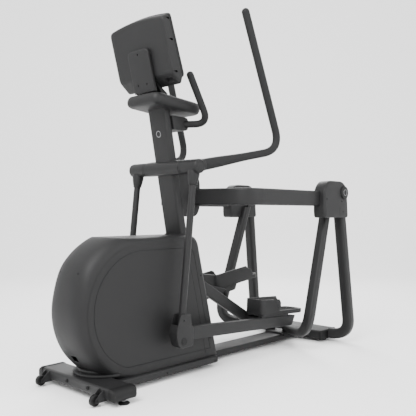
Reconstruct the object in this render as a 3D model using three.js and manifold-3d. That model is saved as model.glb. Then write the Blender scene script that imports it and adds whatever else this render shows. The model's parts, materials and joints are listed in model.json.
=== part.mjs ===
// Elliptical trainer with a front drive housing, two swinging hand-and-foot arms and a hoop frame
// on two A-frames. Millimetres, +Z up, +X towards the user's end, -Y on the user's left.
import * as THREE from "three";
import { mergeVertices } from "three/addons/utils/BufferGeometryUtils.js";
import Module from "manifold-3d";

const wasm = await Module();
wasm.setup();

// ---- driving dimensions ------------------------------------------------------------------------
const GAP = 0.3; // between pieces that touch
const SIDES = [["left", -1], ["right", 1]];

const FOOT = { x: 0, half: 258, r: 24, pad: 10, stem: 6 }; // front levelling feet
const STABILIZER = { front: -73, rear: 50, half: 283, low: 24, high: 72 };
const WHEEL = { x: -108, z: 27, r: 23, width: 20, y: 205, bore: 4.3, fork: 4 };
const RAIL = { half: 62, low: 15, high: 50 };
const CROSS_FOOT = { front: 1519, rear: 1689, half: 238, low: 15, high: 70, padY: 190 };

const MAST = { lean: 0.196, z0: 959, x0: 483, depth: 46, half: 58.5, top: 1363 };
const PIVOT = { x: 462, z: 1004 }; // axis that both handlebars swing about
const AXLE = { r: 12.5, half: 240 };
const HUB = { r: 35, inner: 125, outer: 246, cap: 5, crossR: 36 };
const ARM = { y: 205, r: 16.5, socket: 89, x: 370, z: 190 }; // lower swing tube, down to the pedal-arm pivot
const HANDLE = { r: 19, root: 27, corner: [951, 350, 1110], tip: [716, 312, 1780], bend: 95 };

const HOOP = { y: 335, width: 36, low: 822, high: 908, end: 1560, straight: 822, nose: 630, bow: 0.3,
  bend: 110 };
const HOUSING = { front: 1318, rear: 1583, inner: HOOP.y - 25, outer: HOOP.y + 51, low: 755, high: 968,
  boss: 38 };
const FRONT_LEG = { top: [1469, HOOP.y - 29], knee: [1218, HOOP.y - 2, 112], foot: [1428, 38, 80],
  size: [50, 56], bend: 105 };
const LEG_BRACKET = { front: 1352, rear: 1452, half: 60, top: 64 }; // on the rail, under the two front legs
const REAR_LEG = { top: [1538, HOOP.y + 10], knee: [1632, HOOP.y + 27, 46], size: [54, 62], bend: 100,
  footX: 1606 };
const CLAMP = { rear: 668, half: 42, low: 764, high: 1012 };

const SHROUD = { x: 207, r: 294, top: 673, rim: 30, half: 129, wall: 3, band: 104, low: 57, wrap: 1.42,
  tuck: 0.16 }; // the round front ends at wrap half turns, and runs down tuck of its radius ahead of x
SHROUD.z = SHROUD.top - SHROUD.rim - SHROUD.r; // the round front meets the flat top
const SHROUD_REAR = { topX: 545, lowX: 694, band: 68 }; // rear edge at the top and at the bottom
const BASE = { front: 56, rear: 700, half: 148, low: 22, high: 56.5 };

const CRANK = { shaft: 12, armIn: 34, armOut: 46, pinEnd: 60, pin: 9, boss: 22, eye: 17, arm: 34 };
const DRIVE = { pulley: 128, low: 4, high: 22, belt: 3 };
const FLYWHEEL = { x: SHROUD.x - 51, z: SHROUD.z - 37, r: 150, low: -52, high: -20, pulley: 30, axle: 10,
  rim: 26 };
const PLATE = { low: -14, high: -4 };

const BEAM = { y: 208, width: 36, height: 60, pitch: 3.5, above: 4, end: 893, from: 62 };
const BOOT = { width: 54, cheek: 6 };
const LIFT = 11; // the right pedal arm rests this many degrees heel-up
const KNUCKLE = { along: 631, r: 21, height: 14, bolt: 7 }; // where the inner lever joins the pedal arm
const LEVER = { y: MAST.half + 19.5, width: 28, height: 57, reach: 740, eye: 26, slope: 30, ratio: 0.5 };
const SLOT = { inner: LEVER.y - 18, outer: LEVER.y + 19, low: 235, high: 622 }; // the levers' way out
const PEDAL = { start: 595, length: 386, inner: LEVER.y + 16, outer: 222, sole: 24, wall: 8, cup: 88, above: 8,
  innerWall: 285, outerWall: 104 };

const CONSOLE = { half: 195, backTop: [265, 1683], faceTop: [320, 1716], faceLow: [413, 1427],
  low: [390, 1385], backLow: [328, 1435], bezel: 14, arch: 26 };
const CONSOLE_PLATE = { half: 75, top: 1562, thick: 21 };
const TRAY = { front: 297, rear: 622, half: 118, low: 1288, high: 1344, tilt: 4, wall: 6, deep: 34 };
const PULSE = { low: 1195, high: 1262, rear: 560, half: 66, r: 16, corner: [614, 158, 1228],
  tip: [481, 158, 1451], bend: 48 };
const INLET = { z: 150, half: 20, height: 26, deep: 30 };

// ---- materials ---------------------------------------------------------------------------------
const finish = (color, roughness, metalness) =>
  new THREE.MeshStandardMaterial({ color, roughness, metalness });
const FRAME_PAINT = finish(0x3c3c3d, 0.55, 0.2);
const SHELL = finish(0x38383a, 0.62, 0);
const SOFT_BLACK = finish(0x1c1c1d, 0.85, 0);
const STEEL = finish(0x9a9b9d, 0.35, 0.9);
const IRON = finish(0x4a4a4c, 0.6, 0.7);
const SCREEN = finish(0x0b0c0e, 0.1, 0);

// ---- making solids -----------------------------------------------------------------------------
function solid(geometry) {
  const plain = geometry.index ? geometry.toNonIndexed() : geometry.clone();
  for (const name of Object.keys(plain.attributes)) if (name !== "position") plain.deleteAttribute(name);
  const merged = mergeVertices(plain, 1e-4);
  const corners = merged.index.array;
  const faces = [];
  for (let i = 0; i < corners.length; i += 3) {
    const [a, b, c] = corners.slice(i, i + 3);
    if (a !== b && b !== c && c !== a) faces.push(a, b, c);
  }
  return new wasm.Manifold(new wasm.Mesh({
    numProp: 3,
    vertProperties: merged.attributes.position.array,
    triVerts: new Uint32Array(faces),
  }));
}

function geometryOf(made) {
  const mesh = made.getMesh();
  const geometry = new THREE.BufferGeometry();
  const corners = new Float32Array(mesh.numVert * 3);
  for (let i = 0; i < mesh.numVert; i++) {
    corners.set(mesh.vertProperties.subarray(i * mesh.numProp, i * mesh.numProp + 3), 3 * i);
  }
  geometry.setAttribute("position", new THREE.BufferAttribute(corners, 3));
  geometry.setIndex(new THREE.BufferAttribute(new Uint32Array(mesh.triVerts), 1));
  geometry.computeVertexNormals();
  return geometry;
}

const vec = (x, y, z) => new THREE.Vector3(x, y, z);
const union = (first, ...rest) => rest.reduce((sum, next) => sum.add(next), first);
const cut = (body, ...tools) => tools.reduce((left, tool) => left.subtract(tool), body);

// A block between two corners.
function block(low, high) {
  const size = high.map((value, i) => value - low[i]);
  return solid(new THREE.BoxGeometry(...size).translate(...low.map((value, i) => value + size[i] / 2)));
}

// A round bar between two points, with its own radius at each end.
function rod(from, to, radius, sides = 16, endRadius = radius) {
  const along = to.clone().sub(from);
  const geometry = new THREE.CylinderGeometry(endRadius, radius, along.length(), sides);
  geometry.translate(0, along.length() / 2, 0);
  geometry.applyQuaternion(new THREE.Quaternion().setFromUnitVectors(vec(0, 1, 0), along.normalize()));
  return solid(geometry.translate(from.x, from.y, from.z));
}

const crossRod = (x, z, yLow, yHigh, radius, sides) => rod(vec(x, yLow, z), vec(x, yHigh, z), radius, sides);

// A closed outline with its corners rounded; each corner is [x, y] or [x, y, radius]. A bevelled outline
// keeps every corner rounder than its bevel, so that the bevel never folds over itself.
function outline(corners, radius = 0, bevel = 0) {
  const shape = new THREE.Shape();
  corners.forEach((corner, i) => {
    const here = new THREE.Vector2(corner[0], corner[1]);
    const before = new THREE.Vector2(...corners.at(i - 1).slice(0, 2));
    const after = new THREE.Vector2(...corners[(i + 1) % corners.length].slice(0, 2));
    const wanted = Math.max(corner[2] ?? radius, 2.6 * bevel);
    const round = Math.min(wanted, here.distanceTo(before) / 2.05, here.distanceTo(after) / 2.05);
    const enter = here.clone().add(before.sub(here).setLength(round));
    const leave = here.clone().add(after.sub(here).setLength(round));
    if (i === 0) shape.moveTo(enter.x, enter.y);
    else shape.lineTo(enter.x, enter.y);
    if (round > 0) shape.quadraticCurveTo(here.x, here.y, leave.x, leave.y);
  });
  shape.closePath();
  return shape;
}

// An outline drawn in X and Z, carried along Y from yLow to yHigh.
function slab(corners, yLow, yHigh, bevel = 0, curveSegments = 3) {
  const shape = Array.isArray(corners) ? outline(corners, 0, bevel) : corners;
  const geometry = new THREE.ExtrudeGeometry(shape, {
    depth: yHigh - yLow - 2 * bevel, curveSegments, steps: 1,
    bevelEnabled: bevel > 0, bevelSize: bevel, bevelOffset: -bevel, bevelThickness: bevel, bevelSegments: 1,
  });
  return solid(geometry.rotateX(Math.PI / 2).translate(0, yHigh - bevel, 0));
}

// An outline drawn in X and Y, carried up Z from zLow to zHigh.
function layer(corners, zLow, zHigh, bevel = 0, curveSegments = 3) {
  const shape = Array.isArray(corners) ? outline(corners, 0, bevel) : corners;
  const geometry = new THREE.ExtrudeGeometry(shape, {
    depth: zHigh - zLow - 2 * bevel, curveSegments, steps: 1,
    bevelEnabled: bevel > 0, bevelSize: bevel, bevelOffset: -bevel, bevelThickness: bevel, bevelSegments: 1,
  });
  return solid(geometry.translate(0, 0, zLow + bevel));
}

// A bent bar's centre line: straight stretches, and round bends made of short chords.
class BentLine extends THREE.Curve {
  constructor(points, radius, chords = 5) {
    super();
    this.stations = [points[0]];
    for (let i = 1; i < points.length - 1; i++) {
      const here = points[i];
      const back = points[i - 1].clone().sub(here);
      const on = points[i + 1].clone().sub(here);
      const half = back.angleTo(on) / 2;
      const reach = Math.min(radius / Math.tan(half), back.length() * 0.9, on.length() * 0.9);
      const enter = here.clone().add(back.setLength(reach));
      const leave = here.clone().add(on.setLength(reach));
      const bend = new THREE.QuadraticBezierCurve3(enter, here, leave);
      this.stations.push(...bend.getPoints(chords));
    }
    this.stations.push(points.at(-1));
  }

  getPoint(t) {
    const place = t * (this.stations.length - 1);
    const i = Math.min(Math.floor(place + 1e-9), this.stations.length - 2);
    return this.stations[i].clone().lerp(this.stations[i + 1], place - i);
  }

  getPointAt(u) {
    return this.getPoint(u);
  }

  getTangentAt(u) {
    const i = Math.round(u * (this.stations.length - 1));
    const from = this.stations[Math.max(i - 1, 0)];
    const to = this.stations[Math.min(i + 1, this.stations.length - 1)];
    return to.clone().sub(from).normalize();
  }
}

const roundSection = (radius, sides = 12) => {
  const ring = Array.from({ length: sides }, (_, i) => (2 * Math.PI * i) / sides);
  return new THREE.Shape(ring.map((turn) => new THREE.Vector2(Math.cos(turn), Math.sin(turn))
    .multiplyScalar(radius)));
};

const boxSection = (width, height, radius) => outline([[-1, -1], [1, -1], [1, 1], [-1, 1]]
  .map(([across, up]) => [(across * width) / 2, (up * height) / 2]), radius);

function bentBar(section, points, radius, chords) {
  const line = new BentLine(points, radius, chords);
  return solid(new THREE.ExtrudeGeometry(section, {
    steps: line.stations.length - 1, curveSegments: 1, extrudePath: line,
  }));
}

// The two Y faces, low one first, of a stretch from a to b outwards on one side of the machine.
const across = (s, a, b) => [s * a, s * b].sort((low, high) => low - high);

const radians = (degrees) => (degrees * Math.PI) / 180;

const machine = new THREE.Group();

function piece(name, made, material, parent = machine) {
  const mesh = new THREE.Mesh(geometryOf(made), material);
  mesh.name = name;
  parent.add(mesh);
}

const mastX = (z) => MAST.x0 - MAST.lean * (z - MAST.z0);

// ---- base --------------------------------------------------------------------------------------
function stabilizerOutline() {
  const { front, rear, low, high } = STABILIZER;
  return [[front, low, 4], [rear, low, 4], [rear, high - 14, 3], [rear - 26, high, 3], [front + 26, high, 3],
    [front, high - 14, 3]];
}

function wheelFork(s) {
  const { x, z, width, y, bore, fork } = WHEEL;
  const mountX = STABILIZER.front + 2;
  const cheekShape = [[mountX, 34, 3], [mountX, 64, 3], [x + 4, 46, 8], [x - 11, z + 4, 8],
    [x - 8, z - 12, 8], [x + 12, z - 10, 8]];
  const reach = width / 2 + 2 + fork;
  const cheeks = [-1, 1].map((e) => slab(cheekShape, ...across(s, y + e * (width / 2 + 2), y + e * reach)));
  return union(...cheeks, crossRod(x, z, ...across(s, y - reach + 1, y + reach - 1), bore - GAP, 12));
}

function addStabilizer() {
  const { half, low } = STABILIZER;
  const stems = SIDES.map(([, s]) => footStem(FOOT.x, s * FOOT.half, low - 1, low + 30, GAP));
  const forks = SIDES.map(([, s]) => wheelFork(s));
  const bar = slab(stabilizerOutline(), -half, half);
  piece("front_stabilizer", cut(union(bar, ...forks), ...stems), FRAME_PAINT);
  const { x, z, r, width, y, bore } = WHEEL;
  for (const [side, s] of SIDES) {
    const faces = across(s, y - width / 2, y + width / 2);
    const hole = crossRod(x, z, faces[0] - 5, faces[1] + 5, bore, 12);
    piece(`transport_wheel_${side}`, cut(crossRod(x, z, ...faces, r, 20), hole), SOFT_BLACK);
  }
}

const footStem = (x, y, low, high, spare = 0) => rod(vec(x, y, low), vec(x, y, high), FOOT.stem + spare, 12);

function addLevellingFoot(name, x, y, ceiling, stemTop) {
  const pad = rod(vec(x, y, 0), vec(x, y, FOOT.pad), FOOT.r, 24, FOOT.r - 4);
  const nut = rod(vec(x, y, ceiling - 7), vec(x, y, ceiling - GAP), 10, 6);
  piece(name, union(pad, footStem(x, y, FOOT.pad - 1, stemTop), nut), SOFT_BLACK);
}

function addBase() {
  addStabilizer();
  const bracket = cut(block([LEG_BRACKET.front, -LEG_BRACKET.half, RAIL.high - 1],
    [LEG_BRACKET.rear, LEG_BRACKET.half, LEG_BRACKET.top]), ...SIDES.map(([, s]) => frontLeg(s, GAP)));
  const tube = block([STABILIZER.rear + GAP, -RAIL.half, RAIL.low],
    [CROSS_FOOT.front - GAP, RAIL.half, RAIL.high]);
  piece("base_rail", union(tube, bracket), FRAME_PAINT);
  const { front, rear, half, low, high, padY } = CROSS_FOOT;
  const middle = (front + rear) / 2;
  const stems = SIDES.map(([, s]) => footStem(middle, s * padY, low - 1, low + 26, GAP));
  const profile = outline([[front, low, 4], [rear, low, 4], [rear, high, 10], [front, high, 10]]);
  piece("rear_cross_foot", cut(slab(profile, -half, half), ...stems), FRAME_PAINT);
  for (const [side, s] of SIDES) {
    addLevellingFoot(`front_foot_${side}`, FOOT.x, s * FOOT.half, STABILIZER.low, STABILIZER.low + 28);
    addLevellingFoot(`rear_foot_${side}`, middle, s * padY, low, low + 24);
  }
}

// ---- mast, crossbar and what stands on the mast --------------------------------------------------
function mastSolid(spare = 0, low = RAIL.high + GAP, high = MAST.top) {
  const half = MAST.depth / 2 + spare;
  const corners = [[low, -half], [low, half], [high, half], [high, -half]];
  const side = outline(corners.map(([z, out]) => [mastX(z) + out, z]));
  return slab(side, -MAST.half - spare, MAST.half + spare);
}

function addMast() {
  const bore = crossRod(PIVOT.x, PIVOT.z, -200, 200, AXLE.r + GAP, 16);
  const front = mastX(PIVOT.z) - MAST.depth / 2;
  // The crossbar wraps the mast's front, so its back half is open to let the mast through.
  const lean = 60;
  const around = slab([[front - GAP + lean * MAST.lean, PIVOT.z - lean], [front + 200, PIVOT.z - lean],
    [front + 200, PIVOT.z + lean], [front - GAP - lean * MAST.lean, PIVOT.z + lean]],
    -MAST.half - GAP, MAST.half + GAP);
  piece("mast", cut(mastSolid(), bore), FRAME_PAINT);
  const sleeve = crossRod(PIVOT.x, PIVOT.z, -HUB.inner + GAP, HUB.inner - GAP, HUB.crossR, 24);
  piece("crossbar", cut(sleeve, around, bore), FRAME_PAINT);
  piece("swing_axle", crossRod(PIVOT.x, PIVOT.z, -AXLE.half, AXLE.half, AXLE.r, 16), STEEL);
}

function addClamp() {
  const { rear, half, low, high } = CLAMP;
  const face = (z) => mastX(z) + MAST.depth / 2 + GAP;
  const body = slab([[face(low), low, 6], [rear - 26, low, 26], [rear, low + 40, 24], [rear, high - 50, 30],
    [rear - 60, high, 34], [face(high), high, 6]], -half, half, 4);
  const slot = block([HOOP.nose - HOOP.width / 2 - GAP, -half - 5, HOOP.low - GAP],
    [rear + 50, half + 5, HOOP.high + GAP]);
  piece("hoop_clamp", cut(body, slot), FRAME_PAINT);
}

function addConsole() {
  const { half, backTop, faceTop, faceLow, low, backLow, bezel, arch } = CONSOLE;
  const along = (from, to, share) => from.map((value, i) => value + (to[i] - value) * share);
  const seamTop = along(faceTop, backTop, bezel / 64);
  const seamLow = [faceLow[0] - bezel, faceLow[1] - 8];
  const wings = (corners, spare, bevel) => slab(corners, -half + spare, half - spare, bevel);
  // The top edge is arched across the width: high in the middle, lower at the ends.
  const across = new THREE.Shape();
  across.moveTo(-half - 9, 1300);
  across.lineTo(half + 9, 1300);
  across.lineTo(half + 9, faceTop[1] - arch);
  across.quadraticCurveTo(0, faceTop[1] + arch, -half - 9, faceTop[1] - arch);
  across.closePath();
  const dome = solid(new THREE.ExtrudeGeometry(across, { depth: 400, bevelEnabled: false, curveSegments: 10 })
    .rotateX(Math.PI / 2).rotateZ(Math.PI / 2).translate(100, 0, 0));
  piece("console_back", wings([backTop, seamTop, seamLow, low, backLow], 0, 6).intersect(dome), SHELL);
  const inset = [seamTop[0] + GAP, seamTop[1]];
  const frontShape = [inset, faceTop, faceLow, [seamLow[0] + GAP, seamLow[1]]];
  const facing = new THREE.Vector2(faceLow[0] - faceTop[0], faceLow[1] - faceTop[1]);
  const tilt = Math.atan2(facing.x, -facing.y);
  const middle = [(faceTop[0] + faceLow[0]) / 2, (faceTop[1] + faceLow[1]) / 2];
  const panel = (thick, wide, tall, out) => solid(new THREE.BoxGeometry(thick, wide, tall)
    .translate(out, 0, -12).rotateY(tilt * -1).translate(middle[0], 0, middle[1]));
  const glass = panel(5, 2 * half - 70, 196, -1.5);
  const pocket = panel(12, 2 * half - 70 + 2 * GAP, 196 + 2 * GAP, 2 - GAP);
  piece("console_front", cut(wings(frontShape, 3, 0).intersect(dome), pocket), SOFT_BLACK);
  piece("display", glass, SCREEN);
}

function addConsolePlate() {
  const { half, top, thick } = CONSOLE_PLATE;
  const { backTop, backLow, low } = CONSOLE;
  const slope = (backLow[0] - backTop[0]) / (backTop[1] - backLow[1]);
  const back = (z) => backTop[0] + slope * (backTop[1] - z) - GAP * 1.5;
  const seat = MAST.top + GAP;
  const rearFoot = mastX(MAST.top) + MAST.depth / 2;
  const shape = [[back(top) - thick, top, 9], [back(top), top, 2], [backLow[0] - 1, backLow[1] - 1.2],
    [low[0] - 2, low[1] - 1], [rearFoot + 1, seat + 4, 2], [rearFoot, seat], [back(seat) - thick, seat, 2]];
  piece("console_bracket", slab(shape, -half, half), SHELL);
}

function addTray() {
  const { front, rear, half, low, high, tilt, wall, deep } = TRAY;
  const plan = (inset) => [[front + inset, -half + inset, 30], [rear - inset, -half + inset, 62],
    [rear - inset, half - inset, 62], [front + inset, half - inset, 30]];
  const body = layer(plan(0), low, high, 12);
  const recess = layer(plan(wall), high - deep, high + 20);
  const middle = [(front + rear) / 2, (low + high) / 2];
  const turn = (made) => solid(geometryOf(made).translate(-middle[0], 0, -middle[1])
    .rotateY((tilt * Math.PI) / 180).translate(middle[0], 0, middle[1]));
  piece("tray", cut(turn(cut(body, recess)), mastSolid(GAP, low - 60, high + 90)), SHELL);
}

function addPulseHandles() {
  const { low, high, rear, half, r, corner, tip, bend } = PULSE;
  const face = (z) => mastX(z) + MAST.depth / 2 + GAP;
  const body = slab([[face(low), low, 2], [rear, low, 16], [rear, high, 16], [face(high), high, 2]],
    -half, half, 5);
  const bars = SIDES.map(([side, s]) => {
    const path = [vec(rear - 30, s * (half - 22), corner[2]), vec(corner[0], s * corner[1], corner[2]),
      vec(tip[0], s * tip[1], tip[2])];
    const bar = bentBar(roundSection(r), path, bend);
    const end = solid(new THREE.SphereGeometry(r - 0.2, 12, 6).translate(...path[2]));
    piece(`pulse_handle_${side}`, union(bar, end), SOFT_BLACK);
    return bentBar(roundSection(r + GAP), [path[0].clone().add(vec(-3, -s * 4, 0)), path[1], path[2]], bend);
  });
  piece("pulse_block", cut(body, ...bars), SHELL);
}

// ---- hoop and A-frames -------------------------------------------------------------------------
const hoopSection = (spare) => boxSection(HOOP.high - HOOP.low + 2 * spare, HOOP.width + 2 * spare, 9);

function addHoop() {
  const { y, low, high, end, straight, nose, bow, bend } = HOOP;
  const z = (low + high) / 2;
  const corner = nose + bow * y;
  const path = [vec(straight - GAP, -y, z), vec(corner, -y, z), vec(nose, 0, z), vec(corner, y, z),
    vec(straight - GAP, y, z)];
  piece("hoop_bow", bentBar(hoopSection(0), path, bend), FRAME_PAINT);
  for (const [side, s] of SIDES) {
    piece(`hoop_rail_${side}`, bentBar(hoopSection(0), [vec(straight, s * y, z), vec(end, s * y, z)], 0),
      FRAME_PAINT);
  }
}

// Each leg is cut level under the hoop rail.
const underHoop = (leg, spare) => cut(leg,
  block([0, -500, HOOP.low - GAP + 2 * spare], [3000, 500, HOOP.low + 400]));

function frontLeg(s, spare) {
  const { top, knee, foot, size, bend } = FRONT_LEG;
  const section = boxSection(size[0] + 2 * spare, size[1] + 2 * spare, 20);
  const head = vec(top[0], s * top[1], HOOP.low + 20);
  return underHoop(bentBar(section, [head, vec(knee[0], s * knee[1], knee[2]),
    vec(foot[0], s * foot[1], foot[2])], bend), spare);
}

function rearLeg(s, spare) {
  const { top, knee, size, bend, footX } = REAR_LEG;
  const section = boxSection(size[0] + 2 * spare, size[1] + 2 * spare, 22);
  const head = vec(top[0], s * top[1], HOOP.low + 20);
  return underHoop(bentBar(section, [head, vec(knee[0], s * knee[1], knee[2]),
    vec(footX, s * (CROSS_FOOT.half + 2), knee[2] + 2)], bend), spare);
}

function addHousing(side, s) {
  const { front, rear, inner, outer, low, high, boss } = HOUSING;
  const shape = [[front + 4, low, 14], [rear, low, 16], [rear - 14, high - 34, 50], [rear - 62, high, 40],
    [front + 52, high, 40], [front + 4, high - 50, 40], [front, low + 40, 10]];
  const shell = slab(shape, ...across(s, inner, outer), 8);
  const z = (HOOP.low + HOOP.high) / 2;
  const railPath = [vec(front - 60, s * HOOP.y, z), vec(HOOP.end + GAP, s * HOOP.y, z)];
  const beam = bentBar(hoopSection(GAP), railPath, 0);
  const cover = cut(shell, beam, frontLeg(s, 2 * GAP), rearLeg(s, 2 * GAP));
  const cap = crossRod(rear - 52, high - 66, ...across(s, outer - 1, outer + 9), boss, 20);
  piece(`rear_housing_${side}`, union(cover, cap), SHELL);
}

function addAFrames() {
  for (const [side, s] of SIDES) {
    piece(`front_leg_${side}`, frontLeg(s, 0), FRAME_PAINT);
    piece(`rear_leg_${side}`, cut(rearLeg(s, 0), block([1400, -CROSS_FOOT.half - GAP, 0],
      [1800, CROSS_FOOT.half + GAP, 200])), FRAME_PAINT);
    addHousing(side, s);
  }
}

// ---- drive housing -----------------------------------------------------------------------------
const rearEdge = (z) => {
  const { topX, lowX } = SHROUD_REAR;
  return lowX + ((topX - lowX) * (z - SHROUD.low)) / (SHROUD.top - SHROUD.low);
};

function shroudPebble(shrink) {
  const { x, z, r, top, rim, half, low } = SHROUD;
  const floor = low - 60;
  const roof = top - rim - shrink;
  const round = r - shrink;
  const start = Math.asin(Math.min((roof - z) / round, 1));
  const shape = new THREE.Shape();
  shape.moveTo(rearEdge(floor) - shrink, floor);
  shape.lineTo(rearEdge(roof) - shrink, roof);
  shape.absarc(x, z, round, Math.PI / 2 + (Math.PI / 2 - start), Math.PI * SHROUD.wrap, false);
  shape.lineTo(x - round * SHROUD.tuck, floor);
  shape.closePath();
  const depth = 2 * (half - shrink) - 2 * (half - SHROUD.band);
  const geometry = new THREE.ExtrudeGeometry(shape, {
    depth, steps: 1, curveSegments: 16, bevelEnabled: true, bevelSize: rim,
    bevelThickness: half - SHROUD.band, bevelSegments: 2,
  });
  return solid(geometry.rotateX(Math.PI / 2).translate(0, depth / 2, 0));
}

function addShroud() {
  const { half, wall, band, low, top } = SHROUD;
  const far = 1200;
  const shell = cut(shroudPebble(0), shroudPebble(wall)).intersect(block([-far, -far, low], [far, far, far]));
  const open = cut(shell, mastSolid(3, low - 20, top + 80));
  const split = (z, gap) => [rearEdge(z) - SHROUD_REAR.band + gap, z];
  const behind = slab([split(-100, GAP), [far, -100], [far, 900], split(900, GAP)], -far, far);
  const before = slab([split(-100, 0), split(900, 0), [-far, 900], [-far, -100]], -far, far);
  const slots = SIDES.map(([, s]) => {
    const [near, off] = across(s, SLOT.inner, SLOT.outer);
    return block([SHROUD_REAR.topX - 60, near, SLOT.low], [far, off, SLOT.high]);
  });
  const ahead = open.intersect(before);
  const socket = block([-far, -INLET.half - GAP, INLET.z - INLET.height / 2 - GAP],
    [SHROUD.x, INLET.half + GAP, INLET.z + INLET.height / 2 + GAP]);
  piece("shroud_rear_cover", cut(open.intersect(behind), ...slots), SHELL);
  const middle = ahead.intersect(block([-far, -band + GAP, 0], [far, band - GAP, far]));
  piece("shroud_front_cover", cut(middle, socket), SHELL);
  for (const [side, s] of SIDES) {
    const [near, off] = across(s, band, half + 10);
    piece(`shroud_side_${side}`, ahead.intersect(block([-far, near, 0], [far, off, far])), SHELL);
  }
  addShroudBase();
  addPowerInlet();
}

function addShroudBase() {
  const { front, rear, half, low, high } = BASE;
  const plate = layer([[front, -half, 24], [rear, -half, 12], [rear, half, 12], [front, half, 24]],
    low, high, 3);
  const channel = block([0, -RAIL.half - GAP, 0], [rear + 50, RAIL.half + GAP, RAIL.high + GAP]);
  piece("shroud_base", cut(plate, channel, mastSolid(3, low, high + 60)), SHELL);
}

function addPowerInlet() {
  const { z, half, height, deep } = INLET;
  const rise = z - SHROUD.z;
  const skin = SHROUD.x - Math.sqrt((SHROUD.r + SHROUD.rim) ** 2 - rise ** 2);
  const body = block([skin + 5, -half, z - height / 2], [skin + 5 + deep, half, z + height / 2]);
  const mouth = block([skin, -half + 5, z - height / 2 + 5],
    [skin + 5 + deep - 6, half - 5, z + height / 2 - 5]);
  piece("power_inlet", cut(body, mouth), SOFT_BLACK);
}

// ---- drive train -------------------------------------------------------------------------------
const armPitch = (s) => radians(s > 0 ? BEAM.pitch - LIFT : BEAM.pitch);
const leverSlope = (s) => radians(LEVER.slope - (s > 0 ? LIFT * (1 + LEVER.ratio) : 0));

// Where the inner lever joins the pedal arm, and where its front eye meets the crank pin.
function knucklePlace(s) {
  const local = vec(KNUCKLE.along, 0, BEAM.above + BEAM.height / 2 + KNUCKLE.height);
  return local.applyAxisAngle(vec(0, 1, 0), armPitch(s)).add(vec(ARM.x, 0, ARM.z));
}

const leverEye = (s) => vec(LEVER.eye - LEVER.reach, 0, 0).applyAxisAngle(vec(0, 1, 0), leverSlope(s))
  .add(knucklePlace(s));

// The crank turns midway between the two lever eyes.
const CRANK_AT = leverEye(-1).lerp(leverEye(1), 0.5);

function addCrank() {
  const { shaft, armIn, armOut, pinEnd, pin, boss, eye, arm } = CRANK;
  const { x, z } = CRANK_AT;
  const parts = [crossRod(x, z, -armOut, armOut, shaft, 20)];
  for (const [, s] of SIDES) {
    const end = leverEye(s);
    const faces = across(s, armIn, armOut);
    const out = end.clone().sub(CRANK_AT);
    const bar = solid(new THREE.BoxGeometry(out.length(), armOut - armIn, arm)
      .translate(out.length() / 2, 0, 0).rotateY(-Math.atan2(out.z, out.x))
      .translate(x, (faces[0] + faces[1]) / 2, z));
    parts.push(bar, crossRod(x, z, ...faces, boss, 24), crossRod(end.x, end.z, ...faces, eye, 20),
      crossRod(end.x, end.z, ...across(s, armIn, pinEnd), pin, 16));
  }
  piece("crankset", union(...parts), STEEL);
  const { pulley, low, high } = DRIVE;
  const grooved = union(crossRod(x, z, low, high, pulley - 2, 32),
    crossRod(x, z, low - 1, low + 1, pulley + 2, 32), crossRod(x, z, high - 1, high + 1, pulley + 2, 32));
  piece("drive_pulley", cut(grooved, crossRod(x, z, -20, 60, shaft + GAP, 20)), SOFT_BLACK);
}

function beltLoop(grow, low, high) {
  const big = { x: CRANK_AT.x, z: CRANK_AT.z, r: DRIVE.pulley + grow };
  const small = { x: FLYWHEEL.x, z: FLYWHEEL.z, r: FLYWHEEL.pulley + grow };
  const span = Math.atan2(small.z - big.z, small.x - big.x);
  const open = Math.acos((big.r - small.r) / Math.hypot(small.x - big.x, small.z - big.z));
  const shape = new THREE.Shape();
  shape.absarc(big.x, big.z, big.r, span + open, span - open + 2 * Math.PI, false);
  shape.absarc(small.x, small.z, small.r, span - open, span + open, false);
  shape.closePath();
  return slab(shape, low, high, 0, 16);
}

function addFlywheel() {
  const { x, z, r, low, high, pulley, axle, rim } = FLYWHEEL;
  const disc = cut(crossRod(x, z, low, high, r, 32), crossRod(x, z, high - 9, high + 5, r - rim, 28),
    crossRod(x, z, low - 5, low + 9, r - rim, 28));
  const wheel = [crossRod(x, z, DRIVE.low, DRIVE.high, pulley - 2, 20),
    crossRod(x, z, DRIVE.high - 1, DRIVE.high + 1, pulley + 2, 20),
    crossRod(x, z, DRIVE.low - 1, DRIVE.low + 1, pulley + 2, 20)];
  piece("flywheel", union(disc, crossRod(x, z, low - 6, DRIVE.high + 4, axle, 16), ...wheel), IRON);
  const loop = cut(beltLoop(DRIVE.belt, DRIVE.low + 3, DRIVE.high - 3), beltLoop(GAP - 1, -10, 40));
  piece("drive_belt", loop, SOFT_BLACK);
}

function addDriveFrame() {
  const { low, high } = PLATE;
  const floor = RAIL.high + 7;
  const crank = CRANK_AT;
  const toe = SHROUD.x + SHROUD.r * Math.cos(Math.PI * SHROUD.wrap) - SHROUD.rim + 22;
  const shape = outline([[toe, floor], [crank.x + 130, floor], [crank.x + 45, crank.z + 10, 30],
    [crank.x - 10, crank.z + 48, 30], [FLYWHEEL.x - 46, FLYWHEEL.z + 24, 30]]);
  const holes = [crossRod(crank.x, crank.z, -60, 60, CRANK.shaft + GAP, 20),
    crossRod(FLYWHEEL.x, FLYWHEEL.z, -60, 60, FLYWHEEL.axle + GAP, 16)];
  piece("drive_frame", cut(slab(shape, low, high), ...holes), FRAME_PAINT);
  const { x, z, r } = FLYWHEEL;
  const arc = new THREE.Shape();
  arc.absarc(x, z, r + 26, -2.5, -1.2, false);
  arc.absarc(x, z, r + 4, -1.2, -2.5, true);
  arc.closePath();
  piece("brake_magnets", slab(arc, FLYWHEEL.low, FLYWHEEL.high, 0, 10), IRON);
}

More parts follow.
